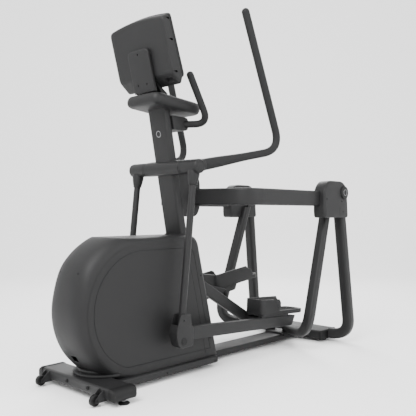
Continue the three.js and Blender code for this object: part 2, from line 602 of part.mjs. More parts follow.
// ---- swinging arms, pedal arms and levers --------------------------------------------------------
function addSwingArm(side, s) {
  const { r, inner, outer, cap } = HUB;
  const pivot = vec(PIVOT.x, s * ARM.y, PIVOT.z);
  const foot = vec(ARM.x, s * ARM.y, ARM.z);
  const down = foot.clone().sub(pivot).normalize();
  const at = (distance) => pivot.clone().addScaledVector(down, distance);
  const bore = crossRod(PIVOT.x, PIVOT.z, ...across(s, inner - 10, AXLE.half + 1), AXLE.r + GAP, 20);
  const corner = vec(HANDLE.corner[0], s * HANDLE.corner[1], HANDLE.corner[2]);
  const outward = corner.clone().sub(pivot).normalize();
  const root = pivot.clone().addScaledVector(outward, r - 2);
  const sleeve = crossRod(PIVOT.x, PIVOT.z, ...across(s, inner, outer), r, 24);
  const endCap = crossRod(PIVOT.x, PIVOT.z, ...across(s, outer - 1, outer + cap), r - 6, 24);
  const socket = rod(at(10), at(ARM.socket), 29, 16, 20);
  const handleRoot = rod(root, root.clone().addScaledVector(outward, 22), HANDLE.root + 2, 16, HANDLE.root);
  piece(`swing_hub_${side}`, cut(union(sleeve, endCap, socket, handleRoot), bore), FRAME_PAINT);
  const eye = crossRod(foot.x, foot.z, ...across(s, ARM.y - 16, ARM.y + 16), 18, 20);
  const pin = crossRod(foot.x, foot.z, ...across(s, ARM.y - 60, ARM.y + 60), 10 + GAP, 20);
  piece(`swing_tube_${side}`, cut(union(rod(at(ARM.socket + GAP), foot, ARM.r, 20), eye), pin), FRAME_PAINT);
  const start = root.clone().addScaledVector(outward, 22 + GAP);
  const taperEnd = start.clone().lerp(corner, 0.72);
  const tip = vec(HANDLE.tip[0], s * HANDLE.tip[1], HANDLE.tip[2]);
  const taper = rod(start, taperEnd, HANDLE.root, 12, HANDLE.r);
  const bar = bentBar(roundSection(HANDLE.r), [taperEnd.clone().addScaledVector(outward, -4), corner, tip],
    HANDLE.bend);
  const end = solid(new THREE.SphereGeometry(HANDLE.r - 0.2, 12, 6).translate(...tip));
  piece(`handlebar_${side}`, union(taper, bar, end), SOFT_BLACK);
  const half = BOOT.width / 2 - BOOT.cheek - 1;
  const bush = crossRod(foot.x, foot.z, ...across(s, ARM.y - half, ARM.y + half), 10, 20);
  piece(`pedal_pivot_${side}`, bush, STEEL);
}

// The pedal arm is drawn with its pivot at the origin and its beam along X.
function addPedalArm(side, s) {
  const arm = new THREE.Group();
  arm.position.set(ARM.x, 0, ARM.z);
  arm.rotation.y = armPitch(s);
  machine.add(arm);
  const { y, width, height, above, end, from } = BEAM;
  const [low, high] = [above, above + height];
  const profile = [[from, low], [end - 34, low + 4, 14], [end, high, 16], [from, high]];
  const beam = slab(profile, ...across(s, y - width / 2, y + width / 2), 2);
  const { along, r, height: rise, bolt } = KNUCKLE;
  const [leverIn, leverOut] = [LEVER.y - LEVER.width / 2, LEVER.y + LEVER.width / 2];
  const knuckleZ = low + height / 2 + rise;
  const carrier = crossRod(along, knuckleZ, ...across(s, leverOut + 1, y - width / 2 + 3), r, 24);
  const stub = crossRod(along, knuckleZ, ...across(s, leverIn - 3, y), bolt, 16);
  piece(`pedal_beam_${side}`, union(beam, carrier, stub), FRAME_PAINT, arm);
  addBoot(side, s, arm);
  addPedal(side, s, arm);
}

function addBoot(side, s, arm) {
  const { width, cheek } = BOOT;
  const edge = BEAM.from - GAP;
  const shape = [[-38, -29, 24], [edge, -22, 8], [edge, BEAM.above + BEAM.height, 4], [46, 84, 10],
    [36, 124, 8], [-28, 124, 14], [-42, 40, 14]];
  const layerOf = (corners, inset, bevel) => slab(corners,
    ...across(s, ARM.y - width / 2 + inset, ARM.y + width / 2 - inset), bevel);
  const body = layerOf(shape, 0, 3);
  const inside = layerOf([[-28, -22, 14], [edge + 40, -22], [edge + 40, 200], [-96, 200], [-36, 60]],
    cheek, 0);
  const roof = BEAM.above + BEAM.height - 2;
  const bridge = layerOf([[36, -20], [edge, -20], [edge, roof], [edge - 4, roof], [39, 20]], 3, 0);
  piece(`pedal_boot_${side}`, union(cut(body, inside), bridge), SHELL, arm);
}

// A foot cup with a tall toe, a long inner wall and a short outer one, open towards the heel.
function addPedal(side, s, arm) {
  const { start, length, inner, outer, sole, wall, cup, above, innerWall, outerWall } = PEDAL;
  const floor = BEAM.above + BEAM.height + above;
  const faces = across(s, inner, outer);
  const end = start + length;
  const [tread, brim] = [floor + sole, floor + cup];
  const cupPlan = [[start, faces[0], 26], [end, faces[0], 44], [end, faces[1], 44], [start, faces[1], 26]];
  const cupBlock = layer(cupPlan, floor, brim);
  const hollow = layer([[start + wall, faces[0] + wall, 20], [end + 60, faces[0] + wall],
    [end + 60, faces[1] - wall], [start + wall, faces[1] - wall, 20]], tread, brim + 20);
  const sideWall = (from, to, rear, slant) =>
    slab([[start - 5, tread], [rear + slant, tread], [rear, brim, 10], [start - 5, brim]],
      ...across(s, from, to));
  const keep = union(block([start - 5, faces[0], floor], [end + 5, faces[1], tread]),
    sideWall(inner, inner + wall + 1, start + innerWall, 60),
    sideWall(outer - wall - 1, outer, start + outerWall, 46),
    block([start - 5, faces[0], tread - 1], [start + 40, faces[1], brim]));
  const [postIn, postOut] = across(s, BEAM.y - 14, BEAM.y + 12);
  const post = block([KNUCKLE.along - 40, postIn, BEAM.above + BEAM.height + GAP],
    [KNUCKLE.along + 200, postOut, floor + 1]);
  const mat = (spare) => {
    const [low, high] = across(s, inner + 16 - spare, outer - 16 + spare);
    const [front, rear] = [start + 60 - spare, end - 14 + spare];
    return layer([[front, low, 18], [rear, low, 34], [rear, high, 34], [front, high, 18]],
      tread - 4 - spare + GAP, tread + 3);
  };
  piece(`pedal_${side}`, union(cut(cut(cupBlock, hollow).intersect(keep), mat(GAP)), post), SHELL, arm);
  piece(`pedal_tread_${side}`, mat(0), SOFT_BLACK, arm);
}

function addLever(side, s) {
  const { y, width, height, reach, eye } = LEVER;
  const lever = new THREE.Group();
  lever.position.copy(knucklePlace(s));
  lever.rotation.y = leverSlope(s);
  machine.add(lever);
  const bar = slab([[-reach, -height / 2, 24], [0, -height / 2, 20], [24, 0, 16], [0, height / 2, 20],
    [-reach, height / 2, 24]], ...across(s, y - width / 2, y + width / 2), 2);
  const bore = (x, radius) => crossRod(x, 0, ...across(s, y - width, y + width), radius + GAP, 16);
  piece(`lever_${side}`, cut(bar, bore(0, KNUCKLE.bolt), bore(eye - reach, CRANK.pin)), FRAME_PAINT, lever);
}

addBase();
addMast();
addClamp();
addConsole();
addConsolePlate();
addTray();
addPulseHandles();
addHoop();
addAFrames();
addShroud();
addCrank();
addFlywheel();
addDriveFrame();
for (const [side, s] of SIDES) {
  addSwingArm(side, s);
  addPedalArm(side, s);
  addLever(side, s);
}

const box = new THREE.Box3().setFromObject(machine);
machine.position.x = -(box.min.x + box.max.x) / 2;

export default machine;
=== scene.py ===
"""Elliptical trainer: the finished look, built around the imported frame."""
import json
import math

import bmesh
import bpy
from mathutils import Matrix, Vector


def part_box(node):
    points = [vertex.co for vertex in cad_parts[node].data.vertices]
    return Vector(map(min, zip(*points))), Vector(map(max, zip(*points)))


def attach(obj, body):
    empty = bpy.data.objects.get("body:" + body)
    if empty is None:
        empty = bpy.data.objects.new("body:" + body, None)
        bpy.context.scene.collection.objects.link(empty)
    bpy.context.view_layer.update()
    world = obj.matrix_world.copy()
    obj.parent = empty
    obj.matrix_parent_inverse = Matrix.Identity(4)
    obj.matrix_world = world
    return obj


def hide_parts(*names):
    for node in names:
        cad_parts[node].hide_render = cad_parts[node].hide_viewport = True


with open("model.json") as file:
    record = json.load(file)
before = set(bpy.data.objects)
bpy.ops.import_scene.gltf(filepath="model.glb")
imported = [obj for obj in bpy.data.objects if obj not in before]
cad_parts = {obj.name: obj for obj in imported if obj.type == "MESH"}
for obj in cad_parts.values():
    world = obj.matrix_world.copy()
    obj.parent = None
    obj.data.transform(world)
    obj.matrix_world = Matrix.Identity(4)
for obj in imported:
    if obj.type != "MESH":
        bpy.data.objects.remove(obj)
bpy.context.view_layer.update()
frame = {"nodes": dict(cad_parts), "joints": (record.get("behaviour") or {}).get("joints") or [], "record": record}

bl_info = {
    "name": "Elliptical trainer",
    "version": (1, 0, 0),
    "blender": (4, 5, 0),
    "location": "3D View > Sidebar > Trainer",
    "description": "Builds the finished surfaces of an elliptical trainer around its frame",
    "category": "Object",
}

MM = 0.001
SIDES = (("left", -1), ("right", 1))
JOINTS = {joint["name"]: joint for joint in frame["joints"]}
DEEPER = 0.17  # a finish's body colour, as a share of the colour that the record gives with its sheen
SPECULAR = 0.22  # how strongly the finishes reflect
COLOURS = {entry["slot"]: [channel * DEEPER for channel in entry["base_color"][:3]]
           for entry in frame["record"]["materials"]}

# The machine's own lines, in millimetres and degrees, from the front feet, the middle plane and the floor.
MAST_X, MAST_Z, MAST_LEAN = 483, 959, 0.196  # a point of the mast's centre line, and its lean to the front
MAST_DEPTH, MAST_CORNER = 46, 13
RAIL_TOP = 50  # top of the base rail
HOOP_Y = 335  # the hoop rails' centre planes
HANDLE_CORNER, HANDLE_TIP = (951, 350, 1110), (716, 312, 1780)  # a handlebar's bend and its upper end
ARM_PITCH, ARM_LIFT = 3.5, 11.0  # the pedal arms' slope at rest; the right one rests heel-up
LEVER_SLOPE, LEVER_RATIO = 30.0, 0.5  # the inner levers' slope at rest, and their share of the arm's lift
KNUCKLE_X, KNUCKLE_Z = 631, 48  # the inner lever's pivot on a pedal arm, from the boot's pivot
FEET_X = sum(corner.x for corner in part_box("front_foot_left")) / 2


def at(x, y, z):
    """A point given in millimetres from the front feet, the middle plane and the floor."""
    return Vector((FEET_X + x * MM, y * MM, z * MM))


def mast_x(z):
    """The mast's centre line: X for a height, both in millimetres."""
    return MAST_X - MAST_LEAN * (z - MAST_Z)


# ---- settings ------------------------------------------------------------------------------------
class TrainerSizes(bpy.types.PropertyGroup):
    """Sizes of the details, in metres."""
    wall: bpy.props.FloatProperty(name="Cover wall", description="Thickness of the housing covers",
                                  default=0.003, min=0.001, unit="LENGTH")
    seam: bpy.props.FloatProperty(name="Seam", description="Width of the seams between covers",
                                  default=0.0016, min=0.0005, unit="LENGTH")
    screw: bpy.props.FloatProperty(name="Screw head", description="Radius of a cover screw's head",
                                   default=0.0042, min=0.001, unit="LENGTH")
    bolt: bpy.props.FloatProperty(name="Bolt head", description="Radius of a frame bolt's head",
                                  default=0.0085, min=0.002, unit="LENGTH")
    ribs: bpy.props.IntProperty(name="Tread ribs", description="Ribs across a foot mat", default=7, min=3)
    keys: bpy.props.IntProperty(name="Console keys", description="Keys below the display", default=7, min=1)


class TrainerColours(bpy.types.PropertyGroup):
    """Colours of the finishes."""
    frame_paint: bpy.props.FloatVectorProperty(name="Frame paint", description="Powder coat of the steel",
                                               subtype="COLOR", size=3, default=COLOURS["frame_paint"])
    shell: bpy.props.FloatVectorProperty(name="Covers", description="Moulded plastic covers",
                                         subtype="COLOR", size=3, default=COLOURS["shell_plastic"])
    bezel: bpy.props.FloatVectorProperty(name="Bezel", description="Dark moulded plastic",
                                         subtype="COLOR", size=3, default=COLOURS["bezel_plastic"])
    grip: bpy.props.FloatVectorProperty(name="Grips", description="Hand grips", subtype="COLOR", size=3,
                                        default=COLOURS["grip_rubber"])
    tread: bpy.props.FloatVectorProperty(name="Tread", description="Foot mats", subtype="COLOR", size=3,
                                         default=COLOURS["tread_rubber"])
    plated: bpy.props.FloatVectorProperty(name="Plated steel", description="Pins, nuts and trim rings",
                                          subtype="COLOR", size=3, default=(0.3, 0.3, 0.31))
    floor: bpy.props.FloatVectorProperty(name="Floor", description="Studio floor", subtype="COLOR", size=3,
                                         default=(0.93, 0.93, 0.93))


# ---- shader maths --------------------------------------------------------------------------------
class Sock:
    """A shader socket that can be used in Python expressions on numbers."""

    def __init__(self, graph, out):
        self.graph = graph
        self.out = out

    def _math(self, operation, first, second):
        return self.graph.node("ShaderNodeMath", {"operation": operation}, {0: first, 1: second})

    def __add__(self, other):
        return self._math("ADD", self, other)

    __radd__ = __add__

    def __mul__(self, other):
        return self._math("MULTIPLY", self, other)

    __rmul__ = __mul__

    def __pow__(self, other):
        return self._math("POWER", self, other)

    def __rpow__(self, other):
        return self._math("POWER", other, self)


class Graph:
    """The nodes of one material, ending in a Principled shader."""

    def __init__(self, name):
        self.material = bpy.data.materials.new(name)
        self.material.use_nodes = True
        self.tree = self.material.node_tree
        self.tree.nodes.clear()

    def node(self, kind, settings, sockets, output=0):
        """A node of that kind: its settings first, then its sockets' values or links."""
        made = self.tree.nodes.new(kind)
        for key, value in settings.items():
            setattr(made, key, value)
        for key, value in sockets.items():
            if isinstance(value, Sock):
                self.tree.links.new(value.out, made.inputs[key])
            else:
                made.inputs[key].default_value = value
        return Sock(self, made.outputs[output]) if made.outputs else None

    def place(self):
        """The surface point in metres, in the frame that all pieces share."""
        return self.node("ShaderNodeTexCoord", {}, {}, "Object")

    def noise(self, scale, detail=2.0, roughness=0.5):
        return self.node("ShaderNodeTexNoise", {}, {"Vector": self.place(), "Scale": scale, "Detail": detail,
                                                    "Roughness": roughness})

    def cells(self, scale):
        return self.node("ShaderNodeTexVoronoi", {"feature": "F1"}, {"Vector": self.place(), "Scale": scale})

    def between(self, share, first, second):
        """A colour between two colours."""
        return self.node("ShaderNodeMix", {"data_type": "RGBA"}, {0: share, 6: (*first, 1), 7: (*second, 1)},
                         2)

    def finish(self, base, roughness, height=None, strength=0.2, depth=0.0004, metallic=0.0, coat=0.0):
        """Ends the graph in a shader; height, where given, is its bump."""
        sockets = {"Base Color": base if isinstance(base, Sock) else (*base, 1), "Roughness": roughness,
                   "Metallic": metallic, "Coat Weight": coat, "Specular IOR Level": SPECULAR}
        if height is not None:
            sockets["Normal"] = self.node("ShaderNodeBump", {}, {"Strength": strength, "Distance": depth,
                                                                 "Height": height})
        self.node("ShaderNodeOutputMaterial", {}, {0: self.node("ShaderNodeBsdfPrincipled", {}, sockets)})
        return self.material


def spread(value, low, high):
    """A value from 0 to 1 spread between two numbers."""
    return value * (high - low) + low


def shade(colour, factor):
    return tuple(min(channel * factor, 1.0) for channel in colour)


def powder_coat(colours):
    """Satin powder coat: a fine orange peel, with faint rubbed patches."""
    graph = Graph("charcoal_powder_coat")
    rubbed = graph.noise(6.0, 4.0, 0.6)
    peel = graph.noise(900.0, 2.0, 0.6)
    base = graph.between(rubbed, shade(colours.frame_paint, 0.9), shade(colours.frame_paint, 1.1))
    return graph.finish(base, spread(rubbed, 0.4, 0.56), height=peel, strength=0.22, depth=0.0003)


def moulded_plastic(name, colour, low, high):
    """Moulded plastic with a fine spark-eroded grain."""
    graph = Graph(name)
    patches = graph.noise(4.0, 3.0, 0.55)
    grain = graph.cells(1400.0) * 0.6 + graph.noise(700.0, 3.0, 0.6) * 0.4
    base = graph.between(patches, shade(colour, 0.92), shade(colour, 1.08))
    return graph.finish(base, spread(patches, low, high), height=grain, strength=0.25, depth=0.0003)


def hand_grip(colours):
    """Closed-cell grip: small round pores, matte."""
    graph = Graph("hand_grip")
    pores = graph.cells(900.0)
    worn = graph.noise(9.0, 3.0, 0.6)
    base = graph.between(worn, shade(colours.grip, 0.88), shade(colours.grip, 1.12))
    return graph.finish(base, spread(worn, 0.58, 0.74), height=pores, strength=0.3, depth=0.0004)


def soft_rubber(name, colour):
    """Matte rubber, dusty in places."""
    graph = Graph(name)
    dust = graph.noise(14.0, 5.0, 0.65)
    base = graph.between(dust ** 2.0, colour, shade(colour, 1.7))
    return graph.finish(base, spread(dust, 0.7, 0.92), height=graph.noise(1200.0), strength=0.2,
                        depth=0.0002)


def turned_steel(name, colour, low, high):
    """Turned and plated steel, with fine rings and a little tarnish."""
    graph = Graph(name)
    tarnish = graph.noise(30.0, 4.0, 0.6)
    base = graph.between(tarnish, shade(colour, 0.8), colour)
    return graph.finish(base, spread(tarnish, low, high), metallic=1.0, height=graph.noise(1500.0),
                        strength=0.1, depth=0.0001)


def smoked_screen():
    """Smoked display window over a dark panel."""
    graph = Graph("smoked_screen")
    smears = graph.noise(12.0, 3.0, 0.6)
    return graph.finish((0.006, 0.007, 0.009), spread(smears, 0.05, 0.16), coat=0.4)


FINISHES = {}


def make_finishes(colours):
    FINISHES.update({
        "frame_paint": powder_coat(colours),
        "shell_plastic": moulded_plastic("charcoal_plastic", colours.shell, 0.46, 0.6),
        "bezel_plastic": moulded_plastic("black_plastic", colours.bezel, 0.5, 0.64),
        "screen": smoked_screen(),
        "grip_rubber": hand_grip(colours),
        "tread_rubber": soft_rubber("foot_mat", colours.tread),
        "foot_rubber": soft_rubber("black_rubber", COLOURS["foot_rubber"]),
        "belt_rubber": soft_rubber("belt_rubber", COLOURS["belt_rubber"]),
        "steel": turned_steel("plated_steel", colours.plated, 0.25, 0.42),
        "iron": turned_steel("machined_iron", COLOURS["iron"], 0.4, 0.6),
    })


# ---- outlines and paths --------------------------------------------------------------------------
def rounded(corners, radius=0.0, steps=7):
    """A closed outline with its corners rounded; a corner is (x, y) or (x, y, radius)."""
    points = []
    count = len(corners)
    for i, corner in enumerate(corners):
        here = Vector(corner[:2])
        before = Vector(corners[i - 1][:2])
        after = Vector(corners[(i + 1) % count][:2])
        want = corner[2] if len(corner) > 2 else radius
        back, on = before - here, after - here
        reach = min(want, back.length / 2.05, on.length / 2.05)
        if reach < 1e-6:
            points.append(tuple(here))
            continue
        enter, leave = here + back.normalized() * reach, here + on.normalized() * reach
        for k in range(steps + 1):
            t = k / steps
            points.append(tuple(enter * (1 - t) ** 2 + here * 2 * t * (1 - t) + leave * t * t))
    return points


def bent(points, radius, chords=12):
    """A centre line through points with round bends of that radius."""
    line = [points[0]]
    for i in range(1, len(points) - 1):
        here = points[i]
        back, on = points[i - 1] - here, points[i + 1] - here
        half = back.angle(on) / 2
        reach = min(radius / math.tan(half), back.length * 0.9, on.length * 0.9)
        enter, leave = here + back.normalized() * reach, here + on.normalized() * reach
        for k in range(chords + 1):
            t = k / chords
            line.append(enter * (1 - t) ** 2 + here * 2 * t * (1 - t) + leave * t * t)
    line.append(points[-1])
    return line


def circle(radius, sides=40):
    return [(radius * math.cos(2 * math.pi * i / sides), radius * math.sin(2 * math.pi * i / sides))
            for i in range(sides)]


def box_section(width, height, radius, steps=6):
    w, h = width / 2, height / 2
    return rounded([(-w, -h), (w, -h), (w, h), (-w, h)], radius, steps)


def across(s, a, b):
    """The two Y places, low one first, of a stretch from a to b outwards on one side."""
    return sorted((s * a * MM, s * b * MM))


# ---- meshes --------------------------------------------------------------------------------------
def new_object(name, mesh_data):
    made = bpy.data.objects.new(name, mesh_data)
    bpy.context.scene.collection.objects.link(made)
    return made


def from_bmesh(name, bm):
    bmesh.ops.remove_doubles(bm, verts=bm.verts, dist=1e-6)
    bmesh.ops.recalc_face_normals(bm, faces=bm.faces)
    data = bpy.data.meshes.new(name)
    bm.to_mesh(data)
    bm.free()
    return new_object(name, data)


def loft(name, rings, caps=True, closed=True):
    """A skin through rings of points that all have the same count."""
    bm = bmesh.new()
    rows = [[bm.verts.new(point) for point in ring] for ring in rings]
    count = len(rings[0])
    last = count if closed else count - 1
    for lower, upper in zip(rows, rows[1:]):
        for i in range(last):
            j = (i + 1) % count
            bm.faces.new((lower[i], lower[j], upper[j], upper[i]))
    if caps:
        bm.faces.new(list(reversed(rows[0])))
        bm.faces.new(rows[-1])
    return from_bmesh(name, bm)


PLANES = {
    "xz": lambda u, v, w: Vector((u, w, v)),
    "xy": lambda u, v, w: Vector((u, v, w)),
    "yz": lambda u, v, w: Vector((w, u, v)),
}


def prism(name, outline, plane, low, high):
    """An outline in one plane, carried from low to high across it."""
    place = PLANES[plane]
    return loft(name, [[place(u, v, w) for u, v in outline] for w in (low, high)])


def block_between(low, high):
    (x0, y0, z0), (x1, y1, z1) = low, high
    return prism("block", [(x0, z0), (x1, z0), (x1, z1), (x0, z1)], "xz", y0, y1)


def mast_sleeve(name, corner, levels):
    """A rounded box that leans as the mast does; a level is (height, depth, width) in millimetres."""
    rings = []
    for z, depth, width in levels:
        section = box_section(depth * MM, width * MM, corner * MM)
        rings.append([at(mast_x(z), 0, z) + Vector((u, v, 0)) for u, v in section])
    return loft(name, rings)


def mm_outline(corners, radius=0.0, steps=7, x_from_feet=True):
    """A rounded outline given in millimetres, its first number along X from the front feet or from 0."""
    shift = FEET_X if x_from_feet else 0.0
    return [(shift + u * MM, v * MM) for u, v in rounded(corners, radius, steps)]


def mm_profile(*points):
    """A profile of (radius, distance along the axis), given in millimetres."""
    return [(radius * MM, along * MM) for radius, along in points]


def sweep(name, section, path, up=Vector((0, 0, 1)), scales=None, end_steps=0):
    """A section carried along a path without twisting; end_steps rounds off the far end."""
    rings = []
    count = len(path)
    side = None
    for i, here in enumerate(path):
        ahead = (path[min(i + 1, count - 1)] - path[max(i - 1, 0)]).normalized()
        if side is None:
            side = ahead.cross(up).normalized()
        else:
            side = (side - ahead * side.dot(ahead)).normalized()
        rise = side.cross(ahead).normalized()
        size = 1.0 if scales is None else scales[i]
        rings.append([here + side * (u * size) + rise * (v * size) for u, v in section])
        if i == count - 1 and end_steps:
            radius = max(math.hypot(u, v) for u, v in section) * size
            for k in range(1, end_steps + 1):
                turn = math.pi / 2 * k / (end_steps + 0.35)
                share = size * math.cos(turn)
                middle_point = here + ahead * (radius * math.sin(turn))
                rings.append([middle_point + side * (u * share) + rise * (v * share) for u, v in section])
    return loft(name, rings)


def turned(name, profile, origin, axis, steps=48):
    """A profile of (radius, distance along the axis) turned about the axis; it closes at radius 0."""
    turn = Vector((0, 0, 1)).rotation_difference(Vector(axis).normalized()).to_matrix()
    bm = bmesh.new()
    rows = []
    for radius, along in profile:
        if radius < 1e-7:
            rows.append([bm.verts.new(origin + turn @ Vector((0, 0, along)))])
            continue
        rows.append([bm.verts.new(origin + turn @ Vector((radius * math.cos(a), radius * math.sin(a), along)))
                     for a in (2 * math.pi * i / steps for i in range(steps))])
    for lower, upper in zip(rows, rows[1:]):
        for i in range(steps):
            j = (i + 1) % steps
            corners = [lower[i % len(lower)], lower[j % len(lower)], upper[j % len(upper)],
                       upper[i % len(upper)]]
            corners = list(dict.fromkeys(corners))
            if len(corners) > 2:
                bm.faces.new(corners)
    return from_bmesh(name, bm)


def disc_profile(radius, height, edge):
    """A plain round boss with a rounded far edge."""
    return [(0, 0), (radius, 0), (radius, height - edge), (radius - edge * 0.3, height - edge * 0.3),
            (radius - edge, height), (0, height)]


def keep_shape(piece):
    """Replaces the mesh by what its modifiers make of it."""
    bpy.context.view_layer.update()
    graph = bpy.context.evaluated_depsgraph_get()
    shaped = bpy.data.meshes.new_from_object(piece.evaluated_get(graph))
    piece.modifiers.clear()
    piece.data = shaped
    return piece


def bevel(piece, width, segments=3, angle=35):
    modifier = piece.modifiers.new("edge", "BEVEL")
    modifier.width = width
    modifier.segments = segments
    modifier.limit_method = "ANGLE"
    modifier.angle_limit = math.radians(angle)
    return piece


def combine(piece, tools, operation="DIFFERENCE"):
    """Cuts the tools out of the piece, or joins them to it, and removes them."""
    for tool in tools:
        modifier = piece.modifiers.new("cut", "BOOLEAN")
        modifier.operation = operation
        modifier.solver = "EXACT"
        modifier.object = tool
        keep_shape(piece)
        bpy.data.objects.remove(tool)
    return piece


def joined(name, pieces):
    """Several closed bodies as one object."""
    bm = bmesh.new()
    for piece in pieces:
        if piece.modifiers:
            keep_shape(piece)
        bm.from_mesh(piece.data)
        bpy.data.objects.remove(piece)
    data = bpy.data.meshes.new(name)
    bm.to_mesh(data)
    bm.free()
    return new_object(name, data)


def smooth(piece, angle=38):
    """Smooth shading, with edges sharper than the angle left crisp."""
    data = piece.data
    for face in data.polygons:
        face.use_smooth = True
    data.set_sharp_from_angle(angle=math.radians(angle))
    return piece


def finish_piece(piece, slot, body, nodes=(), angle=38):
    """Gives a piece its finish, its body and the frame nodes that it stands for."""
    if piece.modifiers:
        keep_shape(piece)
    smooth(piece, angle)
    piece.data.materials.clear()
    piece.data.materials.append(FINISHES[slot])
    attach(piece, body)
    if nodes:
        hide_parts(*nodes)
    return piece


def finish_node(name, slot):
    """Gives its finish to a frame node that is shown as it is."""
    node = frame["nodes"][name]
    node.data.materials.clear()
    node.data.materials.append(FINISHES[slot])
    smooth(node, 32)

def socket_screw(name, place, axis, radius, body, height=None, slot="bezel_plastic"):
    """A screw head with a six-sided socket, standing proud of the place along the axis."""
    height = height or radius * 0.55
    head = turned(name, disc_profile(radius, height, radius * 0.22), Vector(place), axis, 24)
    turn = Vector((0, 0, 1)).rotation_difference(Vector(axis).normalized()).to_matrix()
    hexagon = [turn @ Vector((radius * 0.5 * math.cos(a), radius * 0.5 * math.sin(a), 0))
               for a in (math.pi / 3 * i for i in range(6))]
    normal = Vector(axis).normalized()
    floor_point = Vector(place) + normal * height * 0.45
    tool = loft(name + "_socket", [[floor_point + p for p in hexagon],
                                   [floor_point + p + normal * radius for p in hexagon]])
    return finish_piece(combine(head, [tool]), slot, body)


def screw_hole(place, axis, radius, depth):
    """A tool that sinks a round hole into a surface, from just outside it."""
    normal = Vector(axis).normalized()
    return turned("hole", [(0, -depth), (radius, -depth), (radius * 1.06, depth), (0, depth)], Vector(place),
                  normal, 24)


def sink_screws(piece, label, places, axis, body, radius, depth=0.006):
    """Sinks holes into a piece and puts a dark screw at the bottom of each."""
    combine(piece, [screw_hole(place, axis, radius, depth) for place in places])
    normal = Vector(axis).normalized()
    for i, place in enumerate(places):
        socket_screw(f"{label}_screw_{i + 1}", Vector(place) - normal * depth, axis, radius * 0.86, body,
                     radius * 0.5)
    return piece


# ---- operators -----------------------------------------------------------------------------------
class PieceOperator:
    """What every piece operator shares."""
    bl_options = {"REGISTER", "UNDO"}

    @property
    def sizes(self):
        return bpy.context.scene.trainer_sizes

    @property
    def colours(self):
        return bpy.context.scene.trainer_colours


class TRAINER_OT_stage(PieceOperator, bpy.types.Operator):
    """Makes the finishes, the floor, the lights and the camera"""
    bl_idname = "trainer.stage"
    bl_label = "Stage and finishes"

    floor_reach, wall_place, wall_bend, floor_turn = 9.0, 5.0, 1.08, 43
    sky_strength = 1.9
    # Each lamp's name, place, side and power; all of them look at the machine's middle.
    lamps = (("key", (-2.8, -1.0, 3.4), 2.2, 230), ("side", (0.6, -3.6, 2.2), 2.6, 75),
             ("rim", (2.6, 2.2, 3.0), 2.0, 130))
    lamp_target = Vector((-0.1, 0, 0.8))
    camera_place, camera_way = (-2.264, -2.137, 0.780), Vector((0.7264, 0.6872, 0.0094))
    focal_length = 49.91

    def execute(self, context):
        make_finishes(self.colours)
        self.floor()
        world = bpy.data.worlds.new("studio")
        context.scene.world = world
        world.use_nodes = True
        sky = world.node_tree.nodes["Background"]
        sky.inputs["Color"].default_value = (1, 1, 1, 1)
        sky.inputs["Strength"].default_value = self.sky_strength
        for name, place, size, power in self.lamps:
            light = bpy.data.lights.new(name, "AREA")
            light.energy, light.size = power, size
            self.aim(new_object(name, light), place, self.lamp_target - Vector(place))
        lens = bpy.data.cameras.new("camera")
        lens.lens = self.focal_length
        context.scene.camera = new_object("camera", lens)
        self.aim(context.scene.camera, self.camera_place, self.camera_way)
        return {"FINISHED"}

    def floor(self):
        """A floor that bends up into a wall behind the machine."""
        graph = Graph("studio_floor")
        paint = graph.finish(tuple(self.colours.floor), spread(graph.noise(0.7), 0.75, 0.85))
        reach, wall = self.floor_reach, self.wall_place
        line = bent([Vector((-reach, 0, 0)), Vector((wall, 0, 0)), Vector((wall, 0, reach))], self.wall_bend,
                    16)
        turn = Matrix.Rotation(math.radians(self.floor_turn), 4, "Z")
        rings = [[turn @ (point + Vector((0, y, 0))) for point in line] for y in (-reach, reach)]
        floor = loft("studio_floor", rings, caps=False, closed=False)
        floor.data.materials.append(paint)
        smooth(floor, 60)

    def aim(self, made, place, way):
        made.location = place
        made.rotation_euler = way.to_track_quat("-Z", "Y").to_euler()


